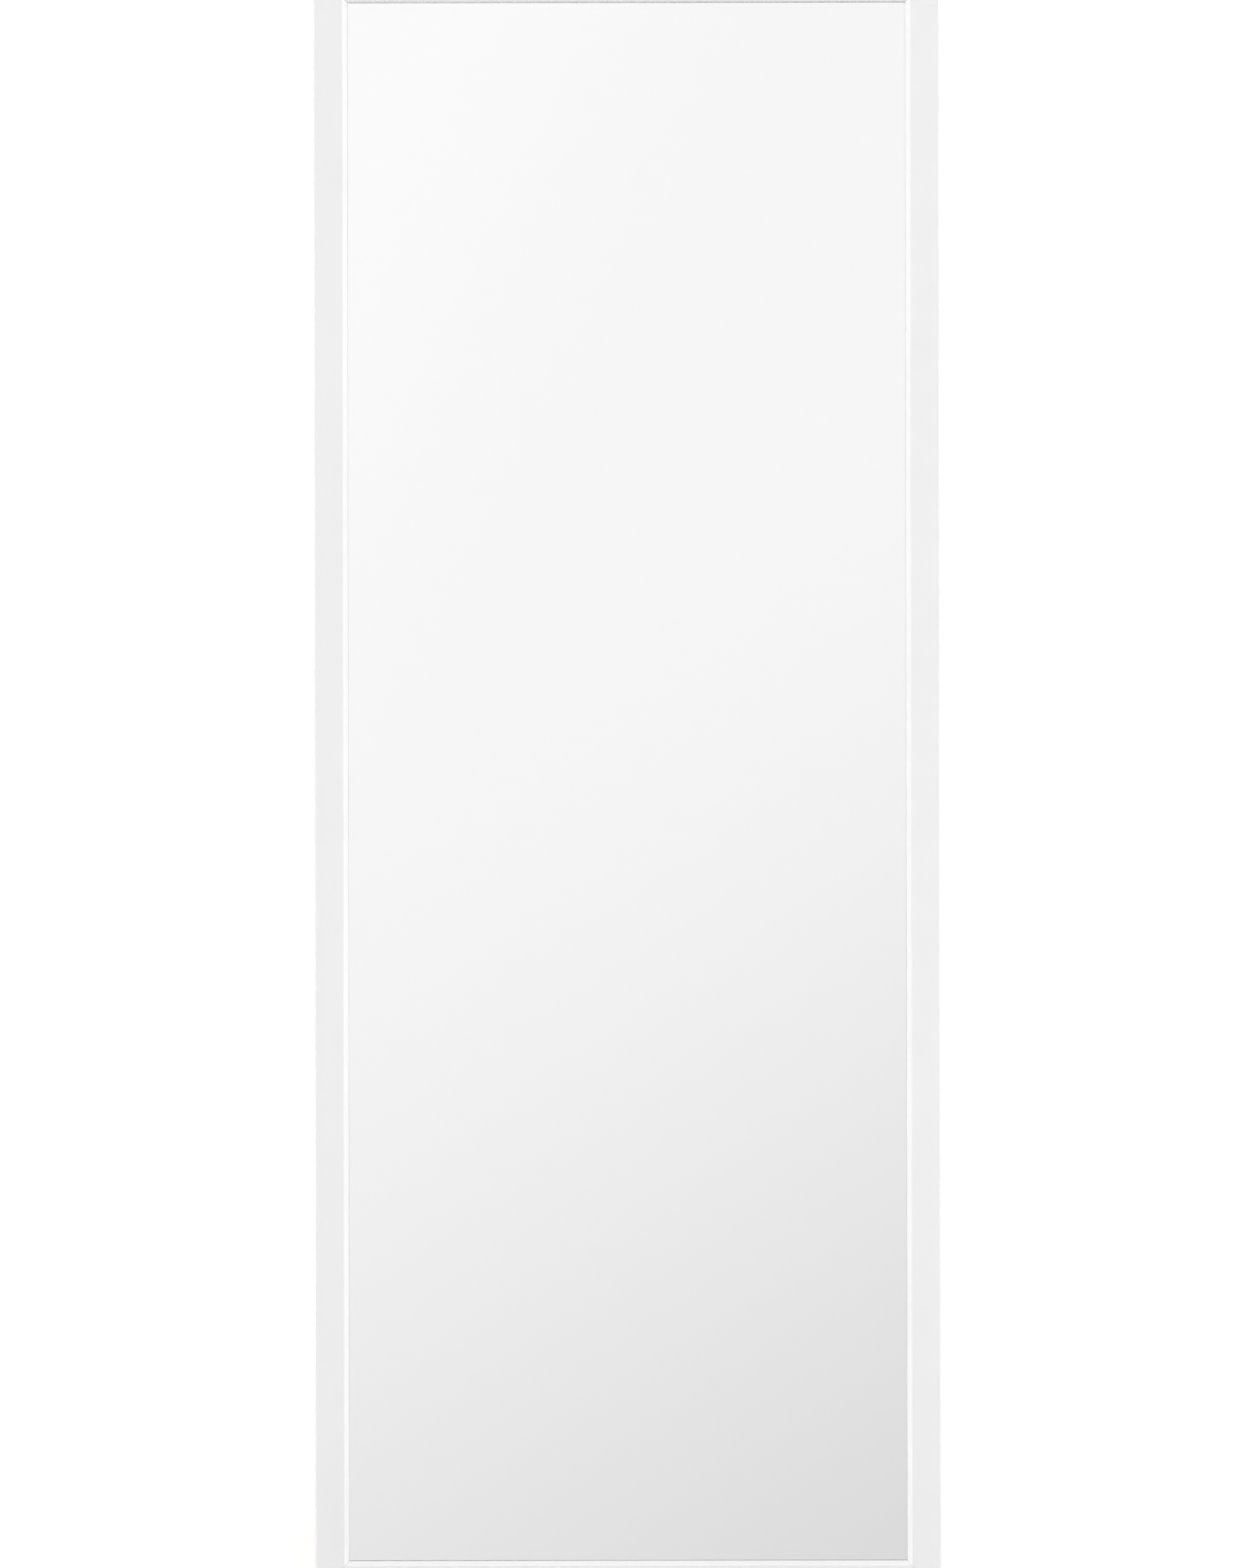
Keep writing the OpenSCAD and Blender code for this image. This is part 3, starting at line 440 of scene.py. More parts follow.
specks = add(tree, "TexVoronoi", {}, {"Vector": place, "Scale": 1 / BARK_SPACING})
ragged = add(tree, "Math", {"operation": "MULTIPLY_ADD"}, {0: pulp, 1: BARK_RAGGED,
                                                          2: specks.outputs["Distance"]})
bark = add(tree, "MapRange", {}, {"Value": ragged.outputs[0], "From Min": BARK_EDGE,
                                  "From Max": BARK_CORE, "To Min": 0.0,
                                  "To Max": BARK_SHOWN})
board = add(tree, "Mix", {"data_type": "RGBA"}, {
    SHARE: bark.outputs[0], COLOUR_A: board.outputs[2], COLOUR_B: linear(PANEL_BARK)})
tree.links.new(board.outputs[2], surface.inputs["Base Color"])
waxed = add(tree, "MapRange", {}, {"Value": pulp, "From Min": PULP_LOW,
                                   "From Max": PULP_HIGH, "To Min": PANEL_GLOSSY,
                                   "To Max": PANEL_MATT})
tree.links.new(waxed.outputs[0], surface.inputs["Roughness"])
relief = add(tree, "Math", {"operation": "MULTIPLY_ADD"}, {0: strands, 1: FIBRE_RAISED,
                                                          2: pulp})
bump = add(tree, "Bump", {}, {"Height": relief.outputs[0], "Distance": FIBRE_DEPTH})
tree.links.new(bump.outputs[0], surface.inputs["Normal"])
dress(["back_panel"], hardboard)

# PANEL CLIPS
# Z-shaped strips of 1.2 mm steel, stamped, bent and then zinc plated in a barrel. Each is
# held by one pan-head screw and presses on the back panel's edge.
CLIP_EASE = 0.00018
ZINC_BLUE = "BCC2CA"
ZINC_WARM = "C9C7BE"
ZINC_PATCH = 0.011
ZINC_PATCH_LOW, ZINC_PATCH_HIGH = 0.35, 0.65
ZINC_ROLLED, ZINC_HEADED = 0.28, 0.22
SPANGLE = 0.0035
SPANGLE_DULL = 0.06
DRAWN_LINE = 0.0004  # the real ones are about half of this apart
DRAWN_DEPTH = 0.000012
DRAWN_DULL = 0.16
DULL_MIDDLE = 0.08  # what spangle and lines add to the roughness on average
ROLLED_STRETCH = 30


def zinc_skin(name, roughness, drawn):
    """Bright zinc plate on steel: silvery, a shade blue or yellow in patches from its
    passivation, with the fine lines of the rolled or drawn metal below."""
    material, tree, surface = finish_material(name, {"Metallic": 1.0})
    spot = add(tree, "TexCoord", {}, {}).outputs["Object"]
    patch = add(tree, "TexNoise", {}, {"Vector": spot, "Scale": 1 / ZINC_PATCH, "Detail": 3})
    patchy = add(tree, "MapRange", {}, {"Value": patch.outputs[0],
                                        "From Min": ZINC_PATCH_LOW,
                                        "From Max": ZINC_PATCH_HIGH})
    plate = add(tree, "Mix", {"data_type": "RGBA"}, {
        SHARE: patchy.outputs[0], COLOUR_A: linear(ZINC_BLUE), COLOUR_B: linear(ZINC_WARM)})
    tree.links.new(plate.outputs[2], surface.inputs["Base Color"])
    crystal = add(tree, "TexVoronoi", {}, {"Vector": spot, "Scale": 1 / SPANGLE})
    grey = add(tree, "SeparateColor", {}, {0: crystal.outputs["Color"]})
    lines = add(tree, "Mapping", OWN_AXES, {"Vector": spot, "Scale": drawn})
    line = add(tree, "TexNoise", {}, {"Vector": lines.outputs[0], "Scale": 1,
                                      "Detail": 3}).outputs[0]
    dull = add(tree, "Math", {"operation": "MULTIPLY_ADD"},
               {0: grey.outputs[0], 1: SPANGLE_DULL, 2: roughness - DULL_MIDDLE})
    dull = add(tree, "Math", {"operation": "MULTIPLY_ADD"}, {0: line, 1: DRAWN_DULL,
                                                            2: dull.outputs[0]})
    tree.links.new(dull.outputs[0], surface.inputs["Roughness"])
    bump = add(tree, "Bump", {}, {"Height": line, "Distance": DRAWN_DEPTH})
    tree.links.new(bump.outputs[0], surface.inputs["Normal"])
    return material


rolled_zinc = zinc_skin("zinc plated rolled steel", ZINC_ROLLED,
                        (DRAWN_LINE, DRAWN_LINE, ROLLED_STRETCH * DRAWN_LINE))
headed_zinc = zinc_skin("zinc plated cold headed steel", ZINC_HEADED,
                        (DRAWN_LINE, DRAWN_LINE, DRAWN_LINE))
clips = eased_copy("panel_clips", "panel_clip_strips", CLIP_EASE)
clips.data.materials.append(rolled_zinc)
dress(["panel_clip_screws"], headed_zinc)

# CORNER PLATES
# Angle plates of 2 mm steel over the mitres, blanked with rounded ends and zinc plated. The
# blanking rolls their edges over slightly. Four pan-head screws hold each.
BLANKED_EDGE = 0.0003
for end in ("bottom_left", "bottom_right", "top_left", "top_right"):
    plate = eased_copy("corner_plate_" + end, "corner_angle_" + end, BLANKED_EDGE)
    plate.data.materials.append(rolled_zinc)
dress(["corner_plate_screws"], headed_zinc)

# MITRE DOWELS
# Short beech dowels, turned and glued across the mitres, out of sight: pale, with fine dark
# rays along them.
BEECH = "DDBC93"
BEECH_RAY = "B98F62"
BEECH_SANDED = 0.55
MITRE = math.radians(45)
RAY_WIDTH = 0.0007
RAY_LENGTH = 0.006
RAY_EDGE, RAY_CORE = 0.45, 0.75
beech, tree, surface = finish_material("turned beech", {"Roughness": BEECH_SANDED})
spot = add(tree, "TexCoord", {}, {}).outputs["Object"]
along = add(tree, "Mapping", OWN_AXES, {"Vector": spot, "Rotation": (0, MITRE, 0),
                                        "Scale": (RAY_WIDTH, RAY_WIDTH, RAY_LENGTH)})
rays = add(tree, "TexNoise", {}, {"Vector": along.outputs[0], "Scale": 1, "Detail": 3})
fine = add(tree, "MapRange", {}, {"Value": rays.outputs[0], "From Min": RAY_EDGE,
                                  "From Max": RAY_CORE})
wood = add(tree, "Mix", {"data_type": "RGBA"}, {
    SHARE: fine.outputs[0], COLOUR_A: linear(BEECH), COLOUR_B: linear(BEECH_RAY)})
tree.links.new(wood.outputs[2], surface.inputs["Base Color"])
dress(["mitre_dowels"], beech)

# HANGER PLATES
# Keyhole plates of 1.5 mm steel, blanked, zinc plated and screwed over pockets in the stiles,
# for hanging the mirror on two wall screws instead.
HANGER_EDGE = 0.00025
for hand in ("left", "right"):
    plate = eased_copy("hanger_plate_" + hand, "keyhole_plate_" + hand, HANGER_EDGE)
    plate.data.materials.append(rolled_zinc)
dress(["hanger_screws"], headed_zinc)

# FOOT PADS
# Wedges of moulded rubber, screwed under the bottom rail. Their soles lie flat on the floor
# while the frame leans.
PAD_GREY = "4B4C4E"
PAD_GRIT = 0.0007  # the real one is about a third of this
PAD_GRIT_DEPTH = 0.00006
PAD_MATT = 0.72
PAD_EASE = 0.0004
pad_rubber = rubber_skin("moulded grey rubber", PAD_GREY, PAD_GRIT, PAD_GRIT_DEPTH, PAD_MATT)
for hand in ("left", "right"):
    pad = eased_copy("foot_pad_" + hand, "wedge_pad_" + hand, PAD_EASE)
    pad.data.materials.append(pad_rubber)
dress(["foot_pad_screws"], headed_zinc)

# HINGE BRACKETS
# Pressed from 2 mm steel sheet: a base plate with two ears bent up beside the leg. Powder
# coat, baked on white, flows into a fine orange peel and rounds the cut edges.
COAT_WHITE = "F0F0EE"
COAT_SHADE = "EAEAE8"
COAT_CLOUD = 1 / 30
COAT_GLOSSY, COAT_SATIN = 0.29, 0.35
COAT_PEEL = 0.0022  # the real one is about half of this
COAT_PEEL_DEPTH = 0.00004
COAT_EDGE = 0.00035
powder, tree, surface = finish_material("white powder coat on steel", {})
spot = add(tree, "TexCoord", {}, {}).outputs["Object"]
cloud = add(tree, "TexNoise", {}, {"Vector": spot, "Scale": 1 / COAT_CLOUD,
                                   "Detail": 2}).outputs[0]
coat = add(tree, "Mix", {"data_type": "RGBA"}, {
    SHARE: cloud, COLOUR_A: linear(COAT_WHITE), COLOUR_B: linear(COAT_SHADE)})
tree.links.new(coat.outputs[2], surface.inputs["Base Color"])
sheen = add(tree, "MapRange", {}, {"Value": cloud, "To Min": COAT_GLOSSY,
                                   "To Max": COAT_SATIN})
tree.links.new(sheen.outputs[0], surface.inputs["Roughness"])
peel = add(tree, "TexNoise", {}, {"Vector": spot, "Scale": 1 / COAT_PEEL, "Detail": 1})
bump = add(tree, "Bump", {}, {"Height": peel.outputs[0], "Distance": COAT_PEEL_DEPTH})
tree.links.new(bump.outputs[0], surface.inputs["Normal"])
for hand in ("left", "right"):
    bracket = eased_copy("hinge_bracket_" + hand, "pressed_bracket_" + hand, COAT_EDGE)
    bracket.data.materials.append(powder)
dress(["hinge_bracket_screws"], headed_zinc)

# PIVOT BOLTS
# M6 button-head bolts, cold headed, thread rolled and zinc plated. The head lies on the outer
# ear, with a hexagon socket for the key. The thread's end shows past the lock nut.
BOLT_RADIUS = 0.003
BOLT_LENGTH = 0.030
BOLT_POINT = 0.0006
HEAD_RADIUS = 0.00525
HEAD_HEIGHT = 0.0033
HEAD_RIM = 0.001
SOCKET_FLATS = 0.004
SOCKET_DEPTH = 0.0018
THREAD_PITCH = 0.001
THREAD_DEPTH = 0.0005
THREAD_FLANK = 1.25  # steeper than a plain V, so that the groove's bottom is flat
THREAD_SHOWN = 0.006
RINGS_A_TURN = 8
SMOOTH_ANGLE = math.radians(30)
FACES_UP = 0.9  # how high a normal reaches on a face that looks up
NEARLY = 0.99  # the share of a reach past which a point lies at its end


def select_where(piece, faces=None, edges=None):
    """Selects the faces or edges for which a test holds, and nothing else."""
    bpy.ops.mesh.select_mode(type="FACE" if faces else "EDGE")
    bpy.ops.mesh.select_all(action="DESELECT")
    edit = bmesh.from_edit_mesh(piece.data)
    for part in (edit.faces if faces else edit.edges):
        if (faces or edges)(part):
            part.select_set(True)
    bmesh.update_edit_mesh(piece.data)


def cut(piece, other, operation):
    """Cuts, joins or keeps the overlap of a piece and another, which is used up."""
    change = piece.modifiers.new("cut", "BOOLEAN")
    change.operation = operation
    change.object = other
    bpy.context.view_layer.objects.active = piece
    bpy.ops.object.modifier_apply(modifier="cut")
    bpy.data.objects.remove(other)


select_none()
bpy.ops.mesh.primitive_cylinder_add(vertices=6, radius=SOCKET_FLATS / math.sqrt(3),
                                    depth=2 * SOCKET_DEPTH, location=(0, 0, -HEAD_HEIGHT))
key_hole = bpy.context.object
bpy.ops.mesh.primitive_cylinder_add(vertices=48, radius=HEAD_RADIUS, depth=HEAD_HEIGHT,
                                    location=(0, 0, -HEAD_HEIGHT / 2))
bolt = bpy.context.object
bpy.ops.object.transform_apply(location=True)
bpy.ops.object.mode_set(mode="EDIT")
select_where(bolt, faces=lambda face: face.normal.z > FACES_UP)
bpy.ops.mesh.inset(thickness=HEAD_RADIUS - BOLT_RADIUS)
bpy.ops.mesh.extrude_region_move(TRANSFORM_OT_translate={"value": (0, 0, BOLT_LENGTH)})
select_where(bolt, edges=lambda edge: all(end.co.z < -NEARLY * HEAD_HEIGHT
                                          for end in edge.verts))
bpy.ops.mesh.bevel(offset=HEAD_HEIGHT - HEAD_RIM, segments=8, affect="EDGES")
for ring in range(round(THREAD_SHOWN / THREAD_PITCH * RINGS_A_TURN)):
    bpy.ops.mesh.select_all(action="SELECT")
    height = BOLT_LENGTH - (ring + 0.5) * THREAD_PITCH / RINGS_A_TURN
    bpy.ops.mesh.bisect(plane_co=(0, 0, height), plane_no=(0, 0, 1))
bpy.ops.object.mode_set(mode="OBJECT")
cut(bolt, key_hole, "DIFFERENCE")
for point in bolt.data.vertices:
    from_end = BOLT_LENGTH - point.co.z
    if from_end < THREAD_SHOWN and point.co.xy.length > NEARLY * BOLT_RADIUS:
        turns = (point.co.z / THREAD_PITCH - math.atan2(point.co.y, point.co.x) / math.tau) % 1
        groove = THREAD_DEPTH * min(1, THREAD_FLANK * (1 - abs(2 * turns - 1)))
        groove *= min(1, (THREAD_SHOWN - from_end) / THREAD_PITCH)
        radius = min(BOLT_RADIUS - groove, BOLT_RADIUS - BOLT_POINT + from_end)
        point.co.xy = point.co.xy.normalized() * radius
select_none()
bolt.select_set(True)
bpy.ops.object.shade_smooth_by_angle(angle=SMOOTH_ANGLE)
bolt.data.materials.append(headed_zinc)
for hand, way in (("left", 1), ("right", -1)):
    low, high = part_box("pivot_bolt_" + hand)
    middle = (low + high) / 2
    under_head = (high.x if way < 0 else low.x) + way * HEAD_HEIGHT
    turned = bpy.data.objects.new("bolt", bolt.data.copy())
    scene.collection.objects.link(turned)
    settle(turned, "button_head_bolt_" + hand,
           Matrix.Translation((under_head, middle.y, middle.z))
           @ Matrix.Rotation(-LEAN, 4, "X") @ Matrix.Rotation(way * math.pi / 2, 4, "Y"))
    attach(turned, "mirror")
    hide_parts("pivot_bolt_" + hand)
bpy.data.objects.remove(bolt)

# LOCK NUTS
# M6 hexagon nuts on the inner ears, cold formed and zinc plated. A nylon ring, rolled into the
# collar, grips the thread, so that the hinge keeps its play.
NUT_FLATS = 0.010
NUT_HEIGHT = 0.005
NUT_CHAMFER_WIDTH = 0.0011
NUT_CHAMFER_HEIGHT = 0.0006
BLANK_ROOM = 0.0001
COLLAR_RADIUS = 0.0043
COLLAR_HEIGHT = 0.0015
COLLAR_EASE = 0.0005
RING_MIDDLE = 0.0034
RING_THICK = 0.0009
CUTTER_LONG = 0.020
NYLON_WHITE = "E9E8E4"
NYLON_SHADE = "E3E2DC"
NYLON_SATIN = 0.42
NYLON_CLOUD = 1 / 60
NYLON_ETCH = 0.0007  # the real one is about a third of this
NYLON_ETCH_DEPTH = 0.00001

# Injection moulded nylon: milky and half matt, from a finely etched mould
nylon, tree, surface = finish_material("moulded white nylon", {"Roughness": NYLON_SATIN})
spot = add(tree, "TexCoord", {}, {}).outputs["Object"]
cloud = add(tree, "TexNoise", {}, {"Vector": spot, "Scale": 1 / NYLON_CLOUD, "Detail": 2})
milk = add(tree, "Mix", {"data_type": "RGBA"}, {
    SHARE: cloud.outputs[0], COLOUR_A: linear(NYLON_WHITE), COLOUR_B: linear(NYLON_SHADE)})
tree.links.new(milk.outputs[2], surface.inputs["Base Color"])
etch = add(tree, "TexNoise", {}, {"Vector": spot, "Scale": 1 / NYLON_ETCH, "Detail": 2})
bump = add(tree, "Bump", {}, {"Height": etch.outputs[0], "Distance": NYLON_ETCH_DEPTH})
tree.links.new(bump.outputs[0], surface.inputs["Normal"])

select_none()
corner_radius = NUT_FLATS / math.sqrt(3)
bpy.ops.mesh.primitive_cylinder_add(vertices=64, radius=corner_radius + BLANK_ROOM,
                                    depth=NUT_HEIGHT - 2 * NUT_CHAMFER_HEIGHT,
                                    location=(0, 0, NUT_HEIGHT / 2))
blank = bpy.context.object
bpy.ops.object.transform_apply(location=True)
bpy.ops.object.mode_set(mode="EDIT")
for up in (1, -1):
    select_where(blank, faces=lambda face: face.normal.z * up > FACES_UP)
    bpy.ops.mesh.inset(thickness=NUT_CHAMFER_WIDTH, depth=NUT_CHAMFER_HEIGHT)
bpy.ops.object.mode_set(mode="OBJECT")
bpy.ops.mesh.primitive_cylinder_add(vertices=6, radius=corner_radius, depth=NUT_HEIGHT,
                                    location=(0, 0, NUT_HEIGHT / 2),
                                    rotation=(0, 0, math.radians(30)))
nut = bpy.context.object
bpy.ops.object.transform_apply(location=True, rotation=True)
cut(nut, blank, "INTERSECT")
bpy.ops.mesh.primitive_cylinder_add(vertices=48, radius=COLLAR_RADIUS, depth=2 * COLLAR_HEIGHT,
                                    location=(0, 0, NUT_HEIGHT))
collar = bpy.context.object
bpy.ops.object.transform_apply(location=True)
bpy.ops.object.mode_set(mode="EDIT")
select_where(collar, edges=lambda edge: all(end.co.z > NUT_HEIGHT for end in edge.verts))
bpy.ops.mesh.bevel(offset=COLLAR_EASE, segments=4, affect="EDGES")
bpy.ops.object.mode_set(mode="OBJECT")
cut(nut, collar, "UNION")
for radius, low in ((BOLT_RADIUS, -NUT_HEIGHT),
                    (RING_MIDDLE + RING_THICK / 2, NUT_HEIGHT + COLLAR_HEIGHT - RING_THICK)):
    bpy.ops.mesh.primitive_cylinder_add(vertices=48, radius=radius, depth=CUTTER_LONG,
                                        location=(0, 0, low + CUTTER_LONG / 2))
    cut(nut, bpy.context.object, "DIFFERENCE")
select_none()
nut.select_set(True)
bpy.ops.object.mode_set(mode="EDIT")
merge_points()
bpy.ops.object.mode_set(mode="OBJECT")
bpy.ops.object.shade_smooth_by_angle(angle=SMOOTH_ANGLE)
nut.data.materials.append(headed_zinc)
bpy.ops.mesh.primitive_torus_add(major_radius=RING_MIDDLE, minor_radius=RING_THICK / 2,
                                 major_segments=48, minor_segments=16,
                                 location=(0, 0, NUT_HEIGHT + COLLAR_HEIGHT - RING_THICK / 2))
grip = bpy.context.object
bpy.ops.object.transform_apply(location=True)
bpy.ops.object.shade_smooth()
grip.data.materials.append(nylon)
for hand, way in (("left", 1), ("right", -1)):
    low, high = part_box("pivot_nut_" + hand)
    middle = (low + high) / 2
    seat = Matrix.Translation((low.x if way > 0 else high.x,
                               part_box("pivot_bolt_" + hand)[0].y + HEAD_RADIUS, middle.z))
    for made, name, slot in ((nut, "lock_nut_", "zinc_steel"),
                             (grip, "nut_grip_ring_", "white_nylon")):
        placed = bpy.data.objects.new(name, made.data.copy())
        scene.collection.objects.link(placed)
        settle(placed, name + hand, seat @ Matrix.Rotation(-LEAN, 4, "X")
               @ Matrix.Rotation(way * math.pi / 2, 4, "Y"))
        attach(placed, "mirror")
        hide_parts("pivot_nut_" + hand)
bpy.data.objects.remove(nut)
bpy.data.objects.remove(grip)

# BUSHES AND STOP CAPS
# Injection moulded nylon: bushes that the legs turn on, clamped between the ears, and plugs in
# the tube's ends, whose flats land on the brackets when the stand is open.
dress(["pivot_bush_left", "pivot_bush_right", "stop_cap_left", "stop_cap_right"], nylon)

# BUFFERS
# Studs of moulded rubber, pushed into holes in the stiles by their stems. The legs lie on their
# round heads when the stand is folded.
dress(["stand_buffer_left", "stand_buffer_right"], pad_rubber)

# STAND TUBE
# One length of 16 mm welded steel tube, bent into a U on a mandrel, drilled for the bushes and
# powder coated white, like the brackets that it hangs in.
dress(["stand_tube"], powder)

# FOOT SLEEVES
# Sleeves of moulded rubber, pushed over the tube and along to the ends of its bar. The floor
# carries the stand there, and their grooves grip it.
SLEEVE_EASE = 0.0003
for hand in ("left", "right"):
    sleeve = eased_copy("stand_foot_" + hand, "grooved_sleeve_" + hand, SLEEVE_EASE)
    sleeve.data.materials.append(pad_rubber)

# STUDIO FLOOR
# A wide sheet of white paper. Only the camera sees it glow, so that it fades into the white
# background and keeps the object's shadow near by.
FLOOR_SIZE = 60
FLOOR_DROP = 0.0002
FLOOR_COLOUR = "E8E8E8"
FLOOR_LIFT_NEAR = 0.40
FLOOR_LIFT_FAR = 1.0
FLOOR_NEAR = 0.5
FLOOR_FAR = 2.2
select_none()
bpy.ops.mesh.primitive_plane_add(size=FLOOR_SIZE, location=(0, 0, -FLOOR_DROP))
floor = bpy.context.object
settle(floor, "studio_floor", Matrix.Identity(4))
floor.visible_glossy = False
floor.visible_transmission = False
paper, tree, surface = finish_material("white paper floor", {
    "Base Color": linear(FLOOR_COLOUR), "Roughness": 1.0, "Specular IOR Level": 0.0,
    "Emission Color": (1, 1, 1, 1)})
seen = add(tree, "LightPath", {}, {})
spot = add(tree, "TexCoord", {}, {})
reach = add(tree, "VectorMath", {"operation": "LENGTH"}, {0: spot.outputs["Object"]})
rise = add(tree, "MapRange", {"interpolation_type": "SMOOTHSTEP"},
           {"Value": reach.outputs["Value"], "From Min": FLOOR_NEAR, "From Max": FLOOR_FAR,
            "To Min": FLOOR_LIFT_NEAR, "To Max": FLOOR_LIFT_FAR})
lift = add(tree, "Math", {"operation": "MULTIPLY"}, {0: seen.outputs["Is Camera Ray"],
                                                    1: rise.outputs[0]})
tree.links.new(lift.outputs[0], surface.inputs["Emission Strength"])
floor.data.materials.append(paper)

# STUDIO WALLS AND CEILING
# A plain pale room. The camera sees it white. Mirrors and metal see its dimmer parts too: a
# soft shade low on the right before the mirror, the far sides, the floor and the wall behind,
# and the glow of the softboxes.
SKY_LIGHT = 0.68
# Levels and glows are shares of white. A start, end, edge or full says how far the direction
# looked in reaches along the one named.
WALL_LEFT = 0.98
WALL_RIGHT = 0.62
SHADE_MIDDLE = (0, -math.cos(LEAN), math.sin(LEAN))
SHADE_EDGE, SHADE_FULL = 0.88, 0.965
WALL_FALL = (0.65, -math.sin(LEAN), -math.cos(LEAN))
WALL_START, WALL_END = -0.025, 0.18
WINDOW_WALL = (-1, 0.5 * math.sin(LEAN), 0.5 * math.cos(LEAN))
WINDOW_GLOW = 0.036
WINDOW_START, WINDOW_END = 0.022, 0.06
FAR_SIDE = 0.70
FAR_SIDE_START, FAR_SIDE_END = 0.34, 0.72
FLOOR_SEEN = 0.84
FLOOR_SEEN_START, FLOOR_SEEN_END = -0.02, -0.10
BACK_WALL = 0.80
BACK_WALL_START, BACK_WALL_END = 0.0, 0.6
SIDE_BOX = (0.94, -0.338, 0.053)
SIDE_BOX_GLOW = 6.5
BACK_BOX = (0.25, 0.93, 0.27)
BACK_BOX_GLOW = 1.1
TOP_BOX = (0, -0.19, 0.98)
TOP_BOX_GLOW = 2.6
BOX_EDGE, BOX_FULL = 0.88, 0.98
world = bpy.data.worlds.new("studio")
scene.world = world
world.use_nodes = True
tree = world.node_tree
tree.nodes.clear()
seen = add(tree, "LightPath", {}, {})
way = add(tree, "TexCoord", {}, {}).outputs["Generated"]
apart = add(tree, "SeparateXYZ", {}, {0: way})
aside = add(tree, "Math", {"operation": "ABSOLUTE"}, {0: apart.outputs[0]})
slope = add(tree, "VectorMath", {"operation": "DOT_PRODUCT"}, {0: way, 1: WALL_FALL})
shade = add(tree, "MapRange", {"interpolation_type": "SMOOTHSTEP"},
            {"Value": slope.outputs["Value"], "From Min": WALL_START, "From Max": WALL_END,
             "To Min": WALL_LEFT, "To Max": WALL_RIGHT})
ahead = add(tree, "VectorMath", {"operation": "DOT_PRODUCT"}, {0: way, 1: SHADE_MIDDLE})
before = add(tree, "MapRange", {"interpolation_type": "SMOOTHSTEP"},
             {"Value": ahead.outputs["Value"], "From Min": SHADE_EDGE, "From Max": SHADE_FULL})
shade = add(tree, "Mix", {}, {"Factor": before.outputs[0], "A": WALL_LEFT,
                              "B": shade.outputs[0]})
slope = add(tree, "VectorMath", {"operation": "DOT_PRODUCT"}, {0: way, 1: WINDOW_WALL})
window = add(tree, "MapRange", {"interpolation_type": "SMOOTHSTEP"},
             {"Value": slope.outputs["Value"], "From Min": WINDOW_START,
              "From Max": WINDOW_END, "To Min": 0.0, "To Max": WINDOW_GLOW})
shown = add(tree, "Math", {"operation": "ADD"}, {0: shade.outputs[0], 1: window.outputs[0]})
for reading, start, end, level in (
        (aside.outputs[0], FAR_SIDE_START, FAR_SIDE_END, FAR_SIDE),
        (apart.outputs[2], FLOOR_SEEN_START, FLOOR_SEEN_END, FLOOR_SEEN),
        (apart.outputs[1], BACK_WALL_START, BACK_WALL_END, BACK_WALL)):
    fall = add(tree, "MapRange", {"interpolation_type": "SMOOTHSTEP"},
               {"Value": reading, "From Min": start, "From Max": end, "To Min": 1.0,
                "To Max": level})
    shown = add(tree, "Math", {"operation": "MULTIPLY"}, {0: shown.outputs[0],
                                                         1: fall.outputs[0]})
both_sides = add(tree, "CombineXYZ", {}, {0: aside.outputs[0], 1: apart.outputs[1],
                                        2: apart.outputs[2]})
for reading, box, glow in ((both_sides.outputs[0], SIDE_BOX, SIDE_BOX_GLOW),
                           (way, BACK_BOX, BACK_BOX_GLOW),
                           (way, TOP_BOX, TOP_BOX_GLOW)):
    near = add(tree, "VectorMath", {"operation": "DOT_PRODUCT"}, {0: reading, 1: box})
    lit = add(tree, "MapRange", {"interpolation_type": "SMOOTHSTEP"},
              {"Value": near.outputs["Value"], "From Min": BOX_EDGE, "From Max": BOX_FULL,
               "To Min": 0.0, "To Max": glow})
    shown = add(tree, "Math", {"operation": "ADD"}, {0: shown.outputs[0], 1: lit.outputs[0]})
either = add(tree, "Math", {"operation": "MAXIMUM"},
             {0: seen.outputs["Is Glossy Ray"], 1: seen.outputs["Is Transmission Ray"]})
level = add(tree, "Mix", {}, {"Factor": either.outputs[0], "A": SKY_LIGHT,
                              "B": shown.outputs[0]})
strength = add(tree, "Mix", {}, {"Factor": seen.outputs["Is Camera Ray"],
                                 "A": level.outputs[0], "B": 1.0})
sky = add(tree, "Background", {}, {"Color": (1, 1, 1, 1), "Strength": strength.outputs[0]})
add(tree, "OutputWorld", {}, {"Surface": sky.outputs[0]})

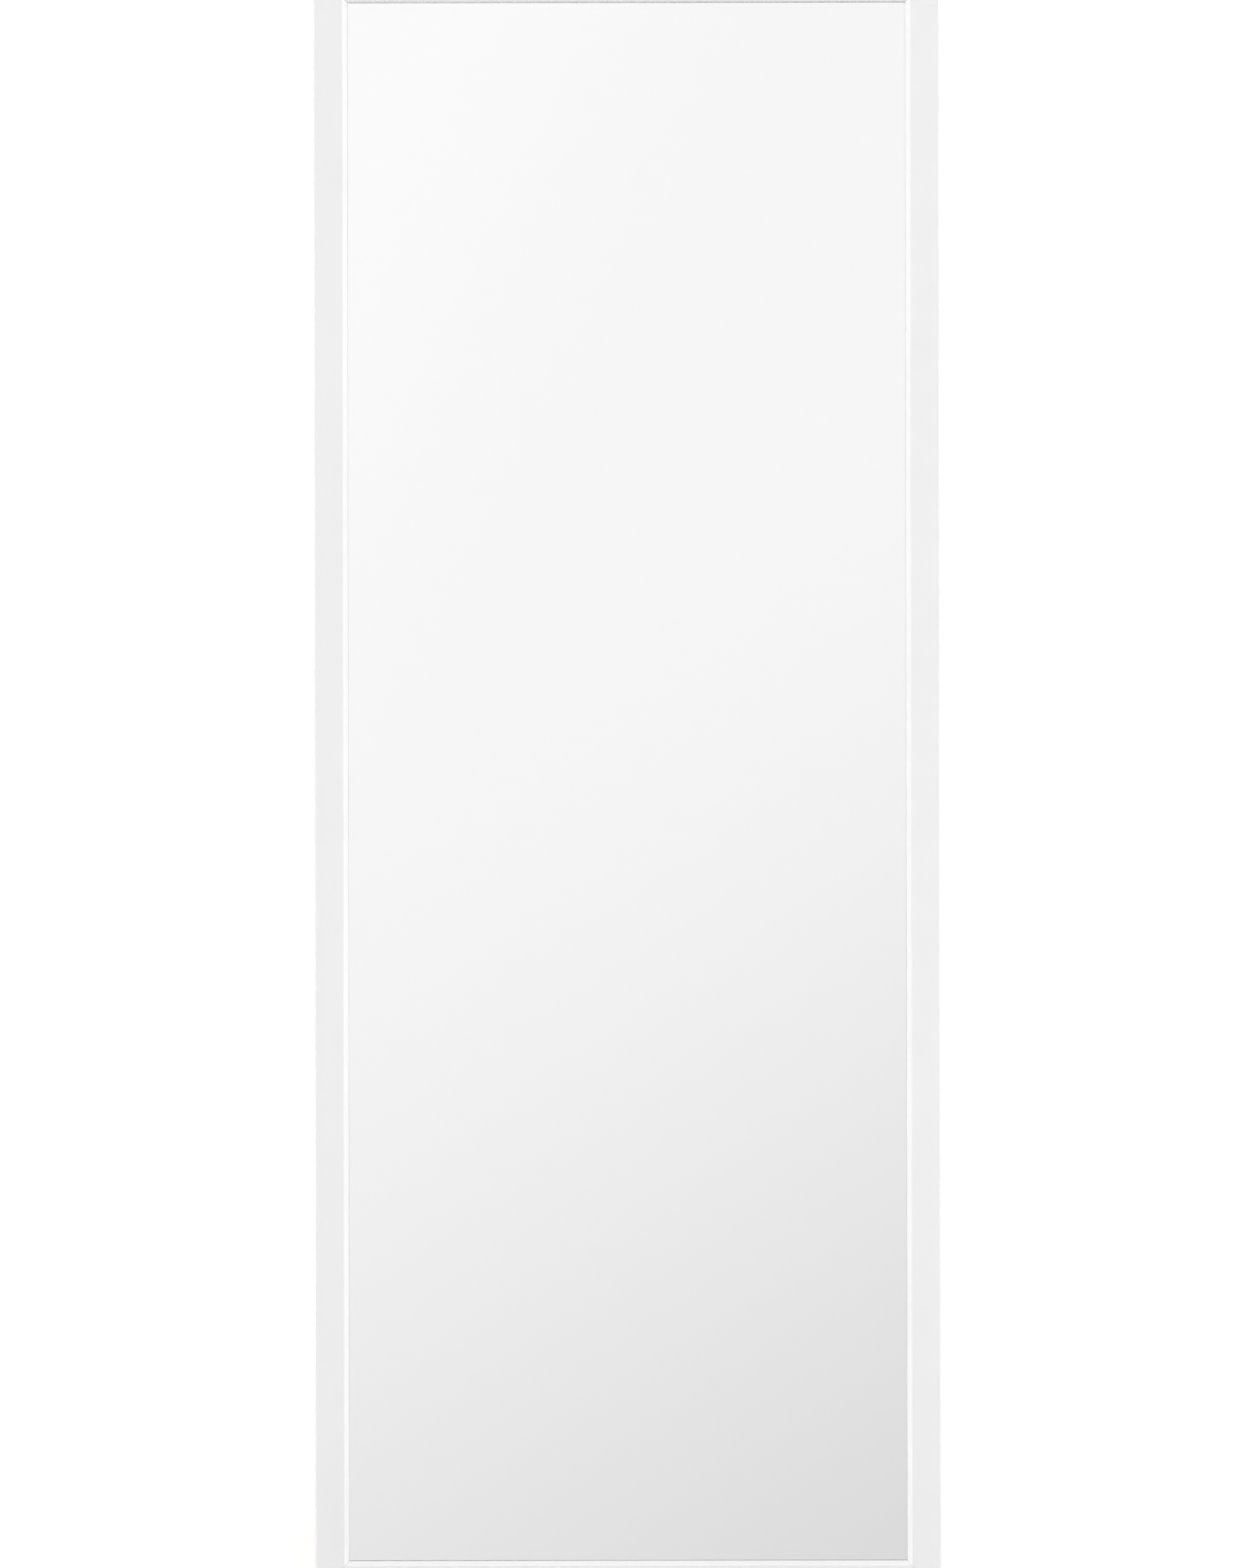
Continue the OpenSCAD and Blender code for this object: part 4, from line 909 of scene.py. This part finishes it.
# LAMPS
# Two tall softboxes stand before the mirror, one to each side. A wide one hangs above, and one
# stands behind for the back. Their powers are in watts.
SIDE_FAR = 2.6
SIDE_ANGLE = math.radians(50)
SIDE_HEIGHT, SIDE_AIM = 1.05, (0, 0, 0.9)
SIDE_WIDE, SIDE_TALL = 1.0, 2.1
LEFT_POWER, RIGHT_POWER = 13.6, 16.2
TOP_PLACE, TOP_AIM, TOP_WIDE, TOP_POWER = (0, -0.6, 3.4), (0, 0, 0), 2.4, 13
BACK_PLACE, BACK_AIM, BACK_WIDE, BACK_POWER = (0.8, 3.0, 1.8), (0, 0, 0.85), 1.6, 26


def softbox(name, place, target, width, height, power):
    """An area lamp that lights the object and isn't seen in it."""
    lamp = bpy.data.lights.new(name, "AREA")
    lamp.shape = "RECTANGLE"
    lamp.size, lamp.size_y = width, height
    lamp.energy = power
    holder = bpy.data.objects.new(name, lamp)
    scene.collection.objects.link(holder)
    aim = (Vector(target) - Vector(place)).to_track_quat("-Z", "Y")
    holder.matrix_world = Matrix.Translation(place) @ aim.to_matrix().to_4x4()
    holder.visible_camera = False
    holder.visible_glossy = False
    holder.visible_transmission = False


for name, hand, power in (("left_softbox", -1, LEFT_POWER), ("right_softbox", 1, RIGHT_POWER)):
    place = (hand * SIDE_FAR * math.sin(SIDE_ANGLE), -SIDE_FAR * math.cos(SIDE_ANGLE),
             SIDE_HEIGHT)
    softbox(name, place, SIDE_AIM, SIDE_WIDE, SIDE_TALL, power)
softbox("top_softbox", TOP_PLACE, TOP_AIM, TOP_WIDE, TOP_WIDE, TOP_POWER)
softbox("back_softbox", BACK_PLACE, BACK_AIM, BACK_WIDE, BACK_WIDE, BACK_POWER)

# CAMERA
# It stands square to the leaned mirror and far off, so that little shows of the lip's inside.
# The mirror's outer edges in the photograph set its scale and roll.
IMAGE_HEIGHT = 1826
MM_PER_PIXEL = 0.8921
CAMERA_FAR = 10.0
AIM_HEIGHT = 0.8423
AIM_ACROSS = -0.0003
ROLL = math.radians(-0.085)
SENSOR = 36
camera_data = bpy.data.cameras.new("camera")
camera_data.sensor_width = SENSOR
camera_data.lens = SENSOR * CAMERA_FAR / (IMAGE_HEIGHT * MM_PER_PIXEL / 1000)
camera = bpy.data.objects.new("camera", camera_data)
scene.collection.objects.link(camera)
camera.matrix_world = (leaned @ Matrix.Translation((AIM_ACROSS, -CAMERA_FAR, AIM_HEIGHT))
                       @ Matrix.Rotation(math.radians(90), 4, "X")
                       @ Matrix.Rotation(ROLL, 4, "Z"))
scene.camera = camera
scene.view_settings.view_transform = "Standard"
